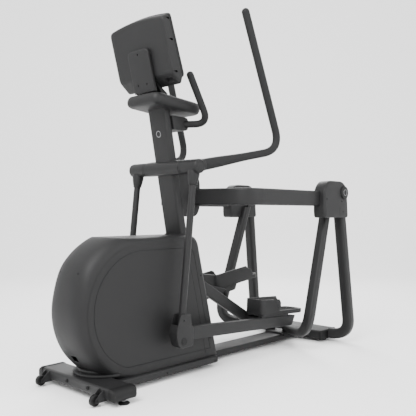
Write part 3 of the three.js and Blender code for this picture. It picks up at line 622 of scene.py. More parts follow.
class TRAINER_OT_base(PieceOperator, bpy.types.Operator):
    """Stabilizer, rail, cross foot, levelling feet and wheels"""
    bl_idname = "trainer.base"
    bl_label = "Base"

    stabilizer_front, stabilizer_height = -73, 48

    def execute(self, context):
        self.stabilizer()
        for side, s in SIDES:
            self.wheel(side, s)
            for end in ("front", "rear"):
                self.levelling_foot(f"{end}_foot_{side}")
        self.rail()
        self.cross_foot()
        return {"FINISHED"}

    def stabilizer(self):
        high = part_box("front_stabilizer")[1]
        front, rear = at(self.stabilizer_front, 0, 0).x, high.x
        bottom, top = high.z - self.stabilizer_height * MM, high.z
        section = rounded([(front, bottom), (rear, bottom), (rear, top), (front, top)], 15 * MM)
        half = high.y - 20 * MM
        tube = prism("stabilizer_tube", section, "xz", -half, half)
        combine(tube, [self.fork(side, offset, front, top) for side, _ in SIDES for offset in (-15.5, 15.5)],
                "UNION")
        finish_piece(bevel(tube, 0.0012, 2), "frame_paint", "root", ["front_stabilizer"])
        for side, s in SIDES:
            rings = []
            for along, shrink, drop in ((-14, 0.4, 0), (-13.9, -1.4, 0), (2, -1.4, 1), (16, -1, 9),
                                        (20.5, 3, 12), (22, 8, 13)):
                inset, lid = shrink * MM, top - (shrink + drop) * MM
                rings.append([Vector((u, s * (half + along * MM), v)) for u, v in rounded(
                    [(front + inset, bottom + inset), (rear - inset, bottom + inset), (rear - inset, lid),
                     (front + inset, lid)], 12 * MM)])
            finish_piece(loft(f"stabilizer_cap_{side}", rings), "bezel_plastic", "root", angle=30)
        for side, y in (("right", 47), ("left", -107)):
            socket_screw(f"stabilizer_bolt_{side}", at(self.stabilizer_front, y, 49), (-1, 0, 0),
                         self.sizes.bolt, "root")
        plate = turned("stabilizer_weld_plate", disc_profile(0.055, 0.003, 0.0015),
                       Vector((rear - 40 * MM, 0, top)), (0, 0, 1))
        finish_piece(plate, "frame_paint", "root")

    def fork(self, side, offset, front, top):
        """One cheek of a wheel's fork, reaching forward and down from the stabilizer."""
        hub = Vector(JOINTS[f"{side}_wheel_spin"]["pos_m"])
        y = hub.y + offset * MM
        cheek = rounded([(front + 24 * MM, hub.z - 8 * MM), (hub.x - 4 * MM, hub.z - 10 * MM, 8 * MM),
                         (hub.x - 9 * MM, hub.z + 4 * MM, 9 * MM), (front - 2 * MM, top - 6 * MM, 12 * MM),
                         (front + 24 * MM, top - 2 * MM)], 2 * MM)
        return prism("fork", cheek, "xz", y - 2.2 * MM, y + 2.2 * MM)

    def wheel(self, side, s):
        hub = Vector(JOINTS[f"{side}_wheel_spin"]["pos_m"])
        low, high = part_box(f"transport_wheel_{side}")
        r, half = (high.z - low.z) / 2, (high.y - low.y) / 2
        profile = [(4.4 * MM, -half), (9 * MM, -half), (9.5 * MM, -half + 2 * MM),
                   (r - 6 * MM, -half + 2 * MM),
                   (r - 5 * MM, -half), (r - 2 * MM, -half), (r, -half + 2.4 * MM), (r, half - 2.4 * MM),
                   (r - 2 * MM, half), (r - 5 * MM, half), (r - 6 * MM, half - 2 * MM),
                   (9.5 * MM, half - 2 * MM), (9 * MM, half), (4.4 * MM, half), (4.4 * MM, -half)]
        tyre = turned(f"wheel_{side}", profile, hub, (0, 1, 0))
        finish_piece(tyre, "bezel_plastic", f"{side}_wheel", [f"transport_wheel_{side}"])
        for out in (-1, 1):
            socket_screw(f"wheel_axle_{side}_{'outer' if out == s else 'inner'}",
                         hub + Vector((0, out * 17.7 * MM, 0)), (0, out, 0), 6 * MM, "root")

    def levelling_foot(self, node):
        low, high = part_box(node)
        centre = (low + high) / 2
        r = (high.x - low.x) / 2
        profile = [(0, 0), (r - 2 * MM, 0), (r, 2 * MM), (r, 6 * MM), (r - 3 * MM, 8.5 * MM),
                   (r * 0.45, 11 * MM),
                   (r * 0.36, 12 * MM), (r * 0.36, 15 * MM), (6 * MM, 15 * MM), (6 * MM, high.z), (0, high.z)]
        pad = turned(f"{node}_pad", profile, Vector((centre.x, centre.y, 0)), (0, 0, 1))
        finish_piece(pad, "foot_rubber", "root", [node])
        hexagon = [(centre.x + u, centre.y + v) for u, v in circle(10 * MM, 6)]
        nut_low = max(min(high.z - 36 * MM, 12 * MM), 11.5 * MM)
        nut = prism(f"{node}_nut", hexagon, "xy", nut_low, nut_low + 3.2 * MM)
        finish_piece(bevel(nut, 0.0006, 2), "steel", "root", angle=25)

    def rail(self):
        low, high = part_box("base_rail")
        rail_top = RAIL_TOP * MM
        section = rounded([(low.y, low.z), (high.y, low.z), (high.y, rail_top), (low.y, rail_top)], 8 * MM)
        bar = prism("base_rail_bar", section, "yz", low.x, high.x)
        pocket = block_between((at(720, 0, 0).x, low.y + 4 * MM, low.z - 0.01),
                               (high.x - 60 * MM, high.y - 4 * MM, low.z + 6 * MM))
        combine(bar, [pocket])
        finish_piece(bevel(bar, 0.0008, 2), "frame_paint", "root", ["base_rail"])
        front, rear, half, top = 1352, 1452, 60 * MM, high.z / MM
        outline = mm_outline([(front, RAIL_TOP - 3, 1), (rear, RAIL_TOP - 3, 1), (rear, RAIL_TOP + 4),
                              (rear - 14, top), (front + 10, top), (front, top - 6)], 5)
        saddle = prism("leg_bracket", outline, "xz", -half, half)
        finish_piece(bevel(saddle, 0.0016, 3), "frame_paint", "root")
        places = [(x, s) for x in (front + 22, rear - 20) for s in (-1, 1)]
        for i, (x, s) in enumerate(places):
            socket_screw(f"leg_bracket_bolt_{i + 1}", at(x, s * 61.9, 41), (0, s, 0), 6.5 * MM, "root")

    def cross_foot(self):
        low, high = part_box("rear_cross_foot")
        section = rounded([(low.x, low.z), (high.x, low.z), (high.x, high.z), (low.x, high.z)], 17 * MM)
        tube = prism("cross_foot_tube", section, "xz", low.y + 16 * MM, high.y - 16 * MM)
        finish_piece(bevel(tube, 0.001, 2), "frame_paint", "root", ["rear_cross_foot"])
        for side, s in SIDES:
            rings = []
            for along, shrink in ((0, 0.4), (0.1, -1.2), (9, -1.2), (14.5, 3), (16, 7)):
                inset = shrink * MM
                rings.append([Vector((u, s * (high.y - 16 * MM + along * MM), v)) for u, v in rounded(
                    [(low.x + inset, low.z + inset), (high.x - inset, low.z + inset),
                     (high.x - inset, high.z - inset), (low.x + inset, high.z - inset)], 17 * MM)])
            finish_piece(loft(f"cross_foot_cap_{side}", rings), "bezel_plastic", "root", angle=30)


class TRAINER_OT_mast(PieceOperator, bpy.types.Operator):
    """Mast, crossbar, axle and hoop clamp"""
    bl_idname = "trainer.mast"
    bl_label = "Mast"

    clamp_rear, ring_height = 668, 1172

    def execute(self, context):
        low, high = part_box("mast")
        depth = MAST_DEPTH / math.cos(math.atan(MAST_LEAN))
        width = (high.y - low.y) / MM
        tube = mast_sleeve("mast_tube", MAST_CORNER, [(z / MM, depth, width) for z in (low.z, high.z)])
        finish_piece(tube, "frame_paint", "root", ["mast"], angle=25)
        self.plain_ring()
        self.crossbar()
        self.clamp()
        return {"FINISHED"}

    def plain_ring(self):
        z = self.ring_height
        face = at(mast_x(z) - 23.4, 0, z)
        lean = Vector((-1, 0, -MAST_LEAN)).normalized()
        ring = turned("mast_ring", mm_profile((13.2, -0.5), (13.4, 0.8), (14.2, 1.2), (15.4, 1.2),
                                              (16.2, 0.8), (16.4, -0.5), (13.2, -0.5)), face, lean, 64)
        finish_piece(ring, "steel", "root")

    def crossbar(self):
        pivot = Vector(JOINTS["left_swing"]["pos_m"])
        low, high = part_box("crossbar")
        r = (high.z - low.z) / 2
        profile = [(r - 5 * MM, low.y), (r - 1.5 * MM, low.y + 0.3 * MM), (r, low.y + 2 * MM),
                   (r, high.y - 2 * MM),
                   (r - 1.5 * MM, high.y - 0.3 * MM), (r - 5 * MM, high.y), (13 * MM, high.y),
                   (13 * MM, low.y), (r - 5 * MM, low.y)]
        bar = turned("crossbar_tube", profile, pivot, (0, 1, 0), 64)
        finish_piece(bar, "frame_paint", "root", ["crossbar"])
        finish_node("swing_axle", "steel")

    def clamp(self):
        """The block that holds the hoop's bow to the mast, with a parting line near its rear."""
        low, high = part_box("hoop_clamp")
        half = high.y
        z0, z1 = low.z / MM, high.z / MM
        rear = self.clamp_rear
        mast_rear = [mast_x(z) + 23.6 for z in (z0, z1)]
        outline = mm_outline([(mast_rear[0], z0, 6), (rear - 26, z0, 30), (rear, z0 + 44, 26),
                              (rear, z1 - 56, 34), (rear - 56, z1, 40), (mast_rear[1], z1, 8)], steps=10)
        body = prism("hoop_clamp_shell", outline, "xz", -half, half)
        bow_low, bow_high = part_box("hoop_bow")
        slot = block_between((bow_low.x - 0.2 * MM, -0.1, bow_low.z - 0.3 * MM),
                             (high.x + 0.1, 0.1, bow_high.z + 0.3 * MM))
        line = mm_outline([(rear - 44, z0 - 100), (rear - 42, z0 - 100), (rear - 42, z1 + 100),
                           (rear - 44, z1 + 100)])
        grooves = [prism("groove", line, "xz", *sorted((s * (half - 1.4 * MM), s * (half + 1)))) for _,
                   s in SIDES]
        combine(body, [slot, *grooves])
        finish_piece(bevel(body, 0.006, 4, 40), "frame_paint", "root", ["hoop_clamp"], angle=45)


class TRAINER_OT_console(PieceOperator, bpy.types.Operator):
    """Console housing, bezel, display, keys and bracket"""
    bl_idname = "trainer.console"
    bl_label = "Console"

    back_top, face_top = (265, 1683), (320, 1716)
    face_low, low_edge, back_low = (413, 1427), (390, 1385), (328, 1435)
    arch = 9  # how far the upper edges rise in the middle and drop at their ends
    slope = (back_low[0] - back_top[0]) / (back_top[1] - back_low[1])

    def execute(self, context):
        self.housing()
        self.bezel()
        self.bracket()
        return {"FINISHED"}

    def arched(self, name, corners, half, radius):
        """A profile carried across the width: its upper corners follow the arch, its ends are drawn in."""
        centre = Vector((sum(c[0] for c in corners), sum(c[1] for c in corners))) / len(corners)
        ends = [(0, 16), (1.5, 8), (5, 3), (11, 0.7)]
        places = [(along - half, inset) for along, inset in ends]
        places += [((-1 + 2 * i / 28) * (half - 18), 0.0) for i in range(29)]
        places += [(half - along, inset) for along, inset in reversed(ends)]
        rings = []
        for y, inset in places:
            drop = self.arch * (2 * (y / half) ** 2 - 1)
            shape = []
            for u, v, upper in corners:
                away = Vector((u, v)) - centre
                pulled = centre + away * max(1 - inset / away.length, 0.1)
                shape.append((pulled.x, pulled.y - (drop if upper else 0), radius))
            rings.append([at(u, y, v) for u, v in rounded(shape, steps=6)])
        return loft(name, rings)

    def housing(self):
        corners = [(*self.back_top, True), (303, 1706, True), (399, 1418, False), (*self.low_edge, False),
                   (*self.back_low, False)]
        body = self.arched("console_housing", corners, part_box("console_back")[1].y / MM, 12)
        recesses = [self.tear_drop(s, x, z) for s in (-1, 1) for x, z in ((300, 1676), (322, 1583),
                                                                          (352, 1440))]
        port = prism("port", mm_outline([(352, 1380), (372, 1380), (372, 1432), (352, 1432)], 3), "xz",
                     -166 * MM, -124 * MM)
        combine(body, [*recesses, port])
        finish_piece(body, "shell_plastic", "root", ["console_back"], angle=34)

    def tear_drop(self, s, x, z):
        """A shallow tear-drop recess in a side face."""
        shape = mm_outline([(x - 15, z + 1, 1.5), (x + 6, z + 6.5, 6), (x + 13, z - 1, 6),
                            (x + 4, z - 6.5, 6)])
        return prism("recess", shape, "xz", *across(s, 184, 205))

    def face_outline(self, from_top, to, deep, proud):
        """A rectangle on the console's face: its stretch down the face, and its depths, in millimetres."""
        top = Vector(self.face_top)
        down = (Vector(self.face_low) - top).normalized()
        out = Vector((-down.y, down.x))
        points = [top + down * along + out * lift for along, lift in (
            (from_top, proud), (from_top, deep), (to, deep), (to, proud))]
        return mm_outline([tuple(point) for point in points])

    def bezel(self):
        corners = [(304.5, 1705.5, True), (*self.face_top, True), (*self.face_low, False), (400, 1418, False)]
        body = self.arched("console_bezel", corners, 191, 5)
        combine(body, [prism("window", self.face_outline(34, 236, -3.2, 4), "xz", -158 * MM, 158 * MM)])
        finish_piece(body, "bezel_plastic", "root", ["console_front"], angle=34)
        glass = prism("display_window", self.face_outline(35, 235, -3.1, -0.8), "xz", -157 * MM, 157 * MM)
        finish_piece(bevel(glass, 0.0006, 2), "screen", "root", ["display"])
        row = (Vector(self.face_low) - Vector(self.face_top)).length - 34
        count, pitch = self.sizes.keys, 40
        for i in range(count):
            y = (i - (count - 1) / 2) * pitch
            pad = prism(f"console_key_{i + 1}", self.face_outline(row - 9, row + 9, -1, 1.6), "xz",
                        (y - 13) * MM, (y + 13) * MM)
            finish_piece(bevel(pad, 0.0011, 3), "grip_rubber", "root")

    def bracket(self):
        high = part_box("console_bracket")[1]
        half, top, thick = high.y / MM, high.z / MM, 19

        def back(z):
            return self.back_top[0] + self.slope * (self.back_top[1] - z) - 0.6

        rings = []
        for z, w, lift in self.plate_stations(top, half):
            section = box_section(2 * w * MM, (thick - lift) * MM, 6 * MM, 5)
            rings.append([at(back(z) - (thick - lift) / 2, 0, z) + Vector((v, u, 0)) for u, v in section])
        plate = loft("console_bracket_plate", rings)
        lean = Vector((-1, 0, -self.slope)).normalized()
        places = [at(back(z) - thick, y, z) for y, z in ((0, 1539), (34, 1400), (-30, 1400))]
        sink_screws(plate, "console_bracket", places, lean, "root", 4.6 * MM, 5 * MM)
        finish_piece(plate, "shell_plastic", "root", ["console_bracket"], angle=40)
        foot = 1363.4
        neck = prism("console_neck", mm_outline([(330, 1436), (388, 1388), (mast_x(1363) + 22, foot),
                                                 (mast_x(1363) - 22,
                                                  foot)], 3), "xz", *across(1, 14 - half, half - 14))
        finish_piece(bevel(neck, 0.003, 3), "bezel_plastic", "root")

    def plate_stations(self, top, half):
        """Height, half width and thinning of the plate from its foot up to its rounded top."""
        radius, shoulder = 24, top - 26
        steps = [(1364, half - 1, 0), (1370, half, 0), (shoulder, half, 0)]
        for k in range(1, 9):
            a = math.pi / 2 * k / 8
            steps.append((shoulder + radius * math.sin(a), half - radius * (1 - math.cos(a)),
                          4 * (k / 8) ** 2))
        return steps


class TRAINER_OT_tray(PieceOperator, bpy.types.Operator):
    """Tray and pulse handles"""
    bl_idname = "trainer.tray"
    bl_label = "Tray and pulse handles"

    def execute(self, context):
        self.tray()
        self.pulse()
        return {"FINISHED"}

    def tray(self):
        front, rear, half, low, high = 297, 622, 118, 1288, 1344
        tilt = Matrix.Rotation(math.radians(4), 4, "Y")
        centre = at((front + rear) / 2, 0, (low + high) / 2)

        def plan(inset, z):
            corners = [(front + inset, -half + inset, 40 - inset / 2), (rear - inset, -half + inset,
                                                                        66 - inset),
                       (rear - inset, half - inset, 66 - inset), (front + inset, half - inset,
                                                                  40 - inset / 2)]
            return [centre + tilt @ (at(u, v, z) - centre) for u, v in rounded(corners, steps=10)]

        levels = [(24, low), (14, low + 1.6), (6, low + 7), (1.4, low + 16), (0, low + 27), (1.2, high - 18),
                  (5, high - 8), (10, high - 2), (15, high), (18, high - 1.4), (19, high - 6),
                  (21, high - 27), (27, high - 33)]
        body = loft("tray_shell", [plan(inset, z) for inset, z in levels])
        port = prism("port", mm_outline([(front - 4, low - 9), (front + 26, low - 9), (front + 26, low + 3),
                                         (front - 4, low + 3)], 2), "xz", -22 * MM, -4 * MM)
        combine(body, [mast_sleeve("hole", MAST_CORNER, [(z, 48.4, 118) for z in (low - 88, high + 106)]),
                       port])
        finish_piece(body, "shell_plastic", "root", ["tray"], angle=40)
        collar = mast_sleeve("tray_collar", 15, [(low + 18, 62, 132), (low + 34, 58, 128),
                                                 (low + 40, 54, 124)])
        combine(collar, [mast_sleeve("hollow", MAST_CORNER, [(z, 47.6, 117.6) for z in (low + 2, high + 6)])])
        finish_piece(collar, "bezel_plastic", "root", angle=40)

    def pulse(self):
        low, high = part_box("pulse_block")
        z0, z1 = low.z / MM, high.z / MM
        rear = 560
        outline = mm_outline([(mast_x(z0) + 23.6, z0, 3), (rear, z0, 26), (rear, z1, 22),
                              (mast_x(z1) + 23.6, z1, 3)], steps=9)
        body = bevel(prism("pulse_housing", outline, "xz", low.y, high.y), 0.008, 4, 40)
        finish_piece(body, "shell_plastic", "root", ["pulse_block"], angle=45)
        thick, reach, level = 17.4, 158, 1228
        for side, s in SIDES:
            path = bent([at(530, s * 44, level), at(614, s * reach, level), at(481, s * reach, 1451)],
                        55 * MM, 16)
            bar = sweep(f"pulse_bar_{side}", circle(thick * MM, 36), path, end_steps=8)
            along = (path[-1] - path[-2]).normalized()
            out = Vector((0, s, 0))
            places = [path[-1] - along * (back * MM) + out * 17 * MM for back in (60, 134)]
            sink_screws(bar, f"pulse_bar_{side}", places, out, "root", 3.6 * MM, 4 * MM)
            finish_piece(bar, "grip_rubber", "root", [f"pulse_handle_{side}"])
            ring = turned(f"pulse_collar_{side}", mm_profile((14, -2), (20, -2), (20.5, 1), (17.5, 7),
                                                             (14, 7), (14, -2)), path[0].lerp(path[1], 0.14),
                          path[1] - path[0], 40)
            finish_piece(ring, "bezel_plastic", "root")


class TRAINER_OT_hoop(PieceOperator, bpy.types.Operator):
    """Hoop frame round the user"""
    bl_idname = "trainer.hoop"
    bl_label = "Hoop"

    def execute(self, context):
        low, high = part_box("hoop_bow")
        y, z = high.y - 18 * MM, (low.z + high.z) / 2
        section = box_section(36 * MM, high.z - low.z, 12 * MM)
        nose_x, corner_x = at(630, 0, 0).x, at(730.5, 0, 0).x
        corners = ((high.x, -y), (corner_x, -y), (nose_x, 0), (corner_x, y), (high.x, y))
        bow = sweep("hoop_bow_tube", section, bent([Vector((u, v, z)) for u, v in corners], 110 * MM, 20))
        finish_piece(bow, "frame_paint", "root", ["hoop_bow"], angle=25)
        for side, s in SIDES:
            start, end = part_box(f"hoop_rail_{side}")
            rail = sweep(f"hoop_rail_tube_{side}", section,
                         [Vector((start.x, s * y, z)), Vector((end.x, s * y, z))])
            finish_piece(rail, "frame_paint", "root", [f"hoop_rail_{side}"], angle=25)
        return {"FINISHED"}


class TRAINER_OT_frames(PieceOperator, bpy.types.Operator):
    """Legs and rear housings"""
    bl_idname = "trainer.frames"
    bl_label = "Legs and rear housings"

    def execute(self, context):
        for side, s in SIDES:
            self.front_leg(side, s)
            self.rear_leg(side, s)
            self.housing(side, s)
        return {"FINISHED"}

    def leg(self, node, section, path, bend):
        """A leg's bent tube, cut off level under the hoop rail."""
        tube = sweep(node.replace("_leg_", "_leg_tube_"), section, bent(path, bend * MM, 18),
                     up=Vector((1, 0, 0.2)))
        rail_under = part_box("hoop_rail_left")[0].z - 0.3 * MM
        combine(tube, [block_between((-2, -2, rail_under), (2, 2, 2))])
        finish_piece(tube, "frame_paint", "root", [node], angle=22)

    def front_leg(self, side, s):
        self.leg(f"front_leg_{side}", box_section(56 * MM, 50 * MM, 17 * MM),
                 [at(1469, s * 306, 842), at(1218, s * 333, 112), at(1428, s * 38, 80)], 105)

    def rear_leg(self, side, s):
        foot_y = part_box(f"rear_leg_{side}")[0 if s > 0 else 1].y / MM
        self.leg(f"rear_leg_{side}", box_section(62 * MM, 54 * MM, 18 * MM),
                 [at(1538, s * 345, 842), at(1632, s * 362, 46), at(1606, foot_y, 48)], 100)

    def housing(self, side, s):
        """A housing round the rail's end and both leg tops, with two seams, three screws and a boss."""
        low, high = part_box(f"rear_housing_{side}")
        front, rear, face = 1318, 1583, HOOP_Y + 51
        inner, outer = (low.y, face * MM) if s > 0 else (-face * MM, high.y)
        z0, z1 = low.z / MM, high.z / MM
        outline = mm_outline([(front + 4, z0, 16), (rear, z0, 18), (rear - 14, z1 - 34, 56),
                              (rear - 62, z1, 48),
                              (front + 52, z1, 44), (front + 4, z1 - 50, 44), (front, z0 + 40, 12)], steps=10)
        body = bevel(prism(f"rear_housing_shell_{side}", outline, "xz", inner, outer), 0.011, 5, 40)
        keep_shape(body)
        rail_low, rail_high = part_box(f"hoop_rail_{side}")
        y, z = s * HOOP_Y * MM, (rail_low.z + rail_high.z) / 2
        lean = Vector((1, 0, 0.2))
        tools = [sweep("cut", box_section(37 * MM, 87 * MM, 12 * MM),
                       [Vector((low.x - 0.05, y, z)), Vector((rail_high.x + 0.4 * MM, y, z))]),
                 sweep("cut", box_section(60 * MM, 54 * MM, 18 * MM),
                       [at(1476, s * 305.2, 862), at(1436, s * 309.6, 745)], up=lean),
                 sweep("cut", box_section(66 * MM, 58 * MM, 19 * MM),
                       [at(1535, s * 344.6, 862), at(1550, s * 347.1, 735)], up=lean)]
        for x in (front + 16, rear - 99):
            seam = mm_outline([(x, z0 - 9), (x + 2, z0 - 9), (x + 2, z0 + 64), (x, z0 + 64)])
            tools.append(prism("seam", seam, "xz", *across(s, face - 1.6, face + 9)))
        combine(body, tools)
        places = [at(x, s * face, z) for x, z in ((1344, 862), (1507, 850), (1519, 789))]
        sink_screws(body, f"rear_housing_{side}", places, (0, s, 0), "root", 4.4 * MM, 5 * MM)
        finish_piece(body, "shell_plastic", "root", [f"rear_housing_{side}"], angle=36)
        centre = at(rear - 52, s * (face - 1), z1 - 66)
        dial = turned(f"housing_boss_{side}", mm_profile((0, 0), (38, 0), (38, 5.6), (36.8, 8.2), (34, 9.6),
                                                         (0, 9.8)), centre, (0, s, 0), 64)
        finish_piece(dial, "bezel_plastic", "root")
        ring = turned(f"housing_ring_{side}", mm_profile((15.4, 9.4), (15.6, 10.4), (16.2, 10.7),
                                                         (17.2, 10.7), (17.8, 10.4), (18, 9.4),
                                                         (15.4, 9.4)), centre, (0, s, 0), 64)
        finish_piece(ring, "steel", "root")


class TRAINER_OT_shroud(PieceOperator, bpy.types.Operator):
    """Drive housing: two side panels, front skin, rear cover, base skirt and power inlet"""
    bl_idname = "trainer.shroud"
    bl_label = "Drive housing"

    centre_x, radius, roof, floor_z = 207, 294, 643, 57
    rear_low, rear_high = (694, 57), (545, 673)  # two points of the straight rear edge
    flat_grow = 30  # how far the roof and the rear stand out at most
    split_back = 68  # how far ahead of the rear edge the rear cover starts
    seam_y = 127.9  # the planes of the seams between the side panels and the front cover
    lever_slot, slot_height = (60, 97), (0.235, 0.622)
    front_screws = (("left", -0.066), ("right", 0.074))
    front_screw_height = 0.525
    # How far each place across the width stands out beyond the side panels' outline.
    swell = ((129, 0), (127.8, 3.6), (124.5, 10), (119, 17.5), (110, 25.5), (97, 32), (78, 37), (55, 40),
             (30, 41.6), (0, 42))
    # The shallow groove that follows the rim of each side panel.
    groove = ((129, -29), (127.2, -29.8), (127.2, -31.4), (129, -32.2), (129, -34))

    def execute(self, context):
        self.covers()
        self.base()
        self.inlet()
        return {"FINISHED"}

    def rear_edge(self, z):
        (x0, z0), (x1, z1) = self.rear_low, self.rear_high
        return x0 + (x1 - x0) * (z - z0) / (z1 - z0)

    def flat(self, grow):
        """How far the roof and the rear stand out where the front stands out by grow."""
        if grow < 0:
            return grow
        return self.flat_grow * (1 - (1 - min(grow / 40, 1)) ** 1.6)

    def rim(self, grow):
        """The housing's outline grown outwards: up the rear, along the roof and round the front."""
        def back(v):
            return self.rear_edge(v) + self.flat(grow)

        x, z, reach = self.centre_x, self.roof - self.radius, self.radius + grow
        low = self.floor_z - 1.4 * min(grow, 0)
        crown = self.roof + self.flat(grow)
        bend = 44
        heights = [low + (crown - bend - low) * i / 8 for i in range(9)]
        points = [(back(height), height) for height in heights]
        enter = Vector(points[-1])
        corner = Vector((back(crown), crown))
        leave = corner - Vector((bend, 0))
        for k in range(1, 10):
            t = k / 9
            points.append(tuple(enter * (1 - t) ** 2 + corner * 2 * t * (1 - t) + leave * t * t))
        points += [(leave.x + (x - leave.x) * i / 8, crown) for i in range(1, 8)]
        end = math.pi + math.asin(min((z - low) / reach, 1))
        for i in range(57):
            a = math.pi / 2 + (end - math.pi / 2) * i / 56
            rise = min(max((a - 1.62) / 0.26, 0), 1) * min(max((2.95 - a) / 0.5, 0), 1)
            far = reach + max(grow, 0) * 0.5 * rise * rise * (3 - 2 * rise)
            points.append((x + far * math.cos(a), min(z + far * math.sin(a), crown)))
        return points

    def pebble(self, name, inset, grooved=True):
        half = [(y - inset, grow - inset) for y, grow in self.swell]
        if grooved:
            half = [(y - inset, grow - inset) for y, grow in reversed(self.groove)] + half
        stations = [(-y, grow) for y, grow in half] + [(y, grow) for y, grow in reversed(half[:-1])]
        return loft(name, [[at(u, y, v) for u, v in self.rim(grow)] for y, grow in stations])

    def region(self, low_y, high_y, side, gap):
        """A cutting block: the part of the housing between two planes, ahead of or behind the split."""
        low, high = -100, 900
        split = [self.rear_edge(z) - self.split_back + gap for z in (low, high)]
        far = 1500 if side == "behind" else -900
        corners = [(split[0], low), (split[1], high), (far, high), (far, low)]
        return prism("region", mm_outline(corners), "xz", low_y * MM, high_y * MM)

    def covers(self):
        seam, plane, past = self.sizes.seam / MM / 2, self.seam_y, 140
        shell = combine(self.pebble("shell", 0), [self.pebble("inside", self.sizes.wall / MM, False)])
        combine(shell, [mast_sleeve("hole", 15, [(z, 54, 124) for z in (0, 760)])])
        parts = (("shroud_front_skin", "shroud_front_cover", (seam - plane, plane - seam, "ahead", -seam)),
                 ("shroud_panel_left", "shroud_side_left", (-past, -plane - seam, "ahead", -seam)),
                 ("shroud_panel_right", "shroud_side_right", (plane + seam, past, "ahead", -seam)),
                 ("shroud_back", "shroud_rear_cover", (-past, past, "behind", seam)))
        for name, node, bounds in parts:
            part = new_object(name, shell.data.copy())
            combine(part, [self.region(*bounds)], "INTERSECT")
            if node == "shroud_rear_cover":
                self.cut_slots(part)
            if node == "shroud_front_cover":
                self.cut_inlet(part)
            finish_piece(part, "shell_plastic", "root", [node], angle=30)
        bpy.data.objects.remove(shell)
        collar = mast_sleeve("shroud_mast_collar", 15, [(666, 58, 129), (675, 58, 129), (677, 56, 127),
                                                        (678, 51, 122)])
        combine(collar, [mast_sleeve("hollow", MAST_CORNER, [(z, 47.6, 117.8) for z in (650, 700)])])
        finish_piece(collar, "bezel_plastic", "root", angle=40)
        for side, s in SIDES:
            for k, (x, z) in enumerate(((655, 150), (585, 470))):
                socket_screw(f"shroud_side_screw_{side}_{k + 1}", at(x, s * 128.8, z), (0, s, 0),
                             self.sizes.screw, "root")

    def cut_slots(self, part):
        """The two upright slots that the inner levers run in."""
        low, high = self.slot_height
        for _, s in SIDES:
            near, far = across(s, *self.lever_slot)
            combine(part, [block_between((at(485, 0, 0).x, near, low), (at(1200, 0, 0).x, far, high))])

    def cut_inlet(self, part):
        """The power inlet's opening and two screws in the front cover."""
        low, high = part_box("power_inlet")
        combine(part, [block_between((low.x - 0.06, low.y - 0.0004, low.z - 0.0004),
                                     (high.x + 0.01, high.y + 0.0004, high.z + 0.0004))])
        for label, y in self.front_screws:
            start = Vector((low.x - 1, y, self.front_screw_height))
            _, place, normal, _ = part.ray_cast(start, Vector((1, 0, 0)))
            sink_screws(part, f"shroud_front_{label}", [place], normal, "root", self.sizes.screw, 0.0028)

    def base(self):
        low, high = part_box("shroud_base")
        front, rear, half = 56, 700, high.y / MM
        z0, z1 = low.z / MM, high.z / MM

        def plan(inset):
            return rounded([(front + inset, -half + inset, 46), (rear - inset, -half + inset, 16),
                            (rear - inset, half - inset, 16), (front + inset, half - inset, 46)], steps=10)

        levels = [(5, z0), (1.4, z0 + 1.4), (0, z0 + 5), (0, z1 - 9), (1.2, z1 - 5), (4, z1 - 1.6), (9, z1)]
        body = loft("shroud_skirt", [[at(u, v, z) for u, v in plan(inset)] for inset, z in levels])
        channel = block_between(at(-20, -62.3, -10), at(760, 62.3, RAIL_TOP + 0.3))
        combine(body, [channel, mast_sleeve("hole", 15, [(z, 54, 124) for z in (0, 120)])])
        for side, s in SIDES:
            places = [at(x, s * half, 35) for x in (114, 342, 669)]
            sink_screws(body, f"shroud_skirt_{side}", places, (0, s, 0), "root", 4.2 * MM, 4 * MM)
        finish_piece(body, "shell_plastic", "root", ["shroud_base"], angle=36)
        self.nose()

    def nose(self):
        """The two stepped layers that reach forward from the skirt over the stabilizer."""
        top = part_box("front_stabilizer")[1].z / MM + 0.4
        for k, (reach, half, low, high) in enumerate(((104, 132, top, top + 13),
                                                      (86, 112, top + 13.4, top + 27))):
            rings = []
            for inset, z in ((2.5, low), (0.4, low + 1.6), (0, low + 4), (0, high - 5), (1.2, high - 2),
                             (5, high)):
                arc = [(76 - (reach + 20 - inset) * math.sin(math.pi * i / 32),
                        -(half - inset) * math.cos(math.pi * i / 32)) for i in range(33)]
                rings.append([at(u, v, z) for u, v in arc])
            finish_piece(loft(f"shroud_nose_{k + 1}", rings), "shell_plastic", "root", angle=36)

    def inlet(self):
        low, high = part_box("power_inlet")
        inside = 3 * MM
        outline = rounded([(low.y, low.z), (high.y, low.z), (high.y, high.z), (low.y, high.z)], 4 * MM)
        cup = rounded([(low.y + inside, low.z + inside), (high.y - inside, low.z + inside),
                       (high.y - inside, high.z - inside), (low.y + inside, high.z - inside)], 4 * MM)
        body = prism("power_inlet_socket", outline, "yz", low.x, high.x)
        combine(body, [prism("cup", cup, "yz", low.x - 0.01, high.x - 6 * MM)])
        finish_piece(bevel(body, 0.0007, 2), "bezel_plastic", "root", ["power_inlet"])
        centre = (low + high) / 2
        for k, (y, z) in enumerate(((-8, -2), (8, -2), (0, 4))):
            pin = prism(f"power_pin_{k + 1}", box_section(2 * MM, 5 * MM, 0.6 * MM, 3), "yz", 0, 14 * MM)
            pin.data.transform(Matrix.Translation((high.x - 20 * MM, centre.y + y * MM, centre.z + z * MM)))
            finish_piece(pin, "steel", "root")


class TRAINER_OT_drive(PieceOperator, bpy.types.Operator):
    """Crank, pulley, belt, flywheel and their plate, inside the drive housing"""
    bl_idname = "trainer.drive"
    bl_label = "Drive train"

    def execute(self, context):
        for node, slot in (("crankset", "steel"), ("drive_pulley", "bezel_plastic"),
                           ("drive_belt", "belt_rubber"),
                           ("drive_frame", "frame_paint"), ("brake_magnets", "iron"), ("flywheel", "iron")):
            finish_node(node, slot)
        return {"FINISHED"}


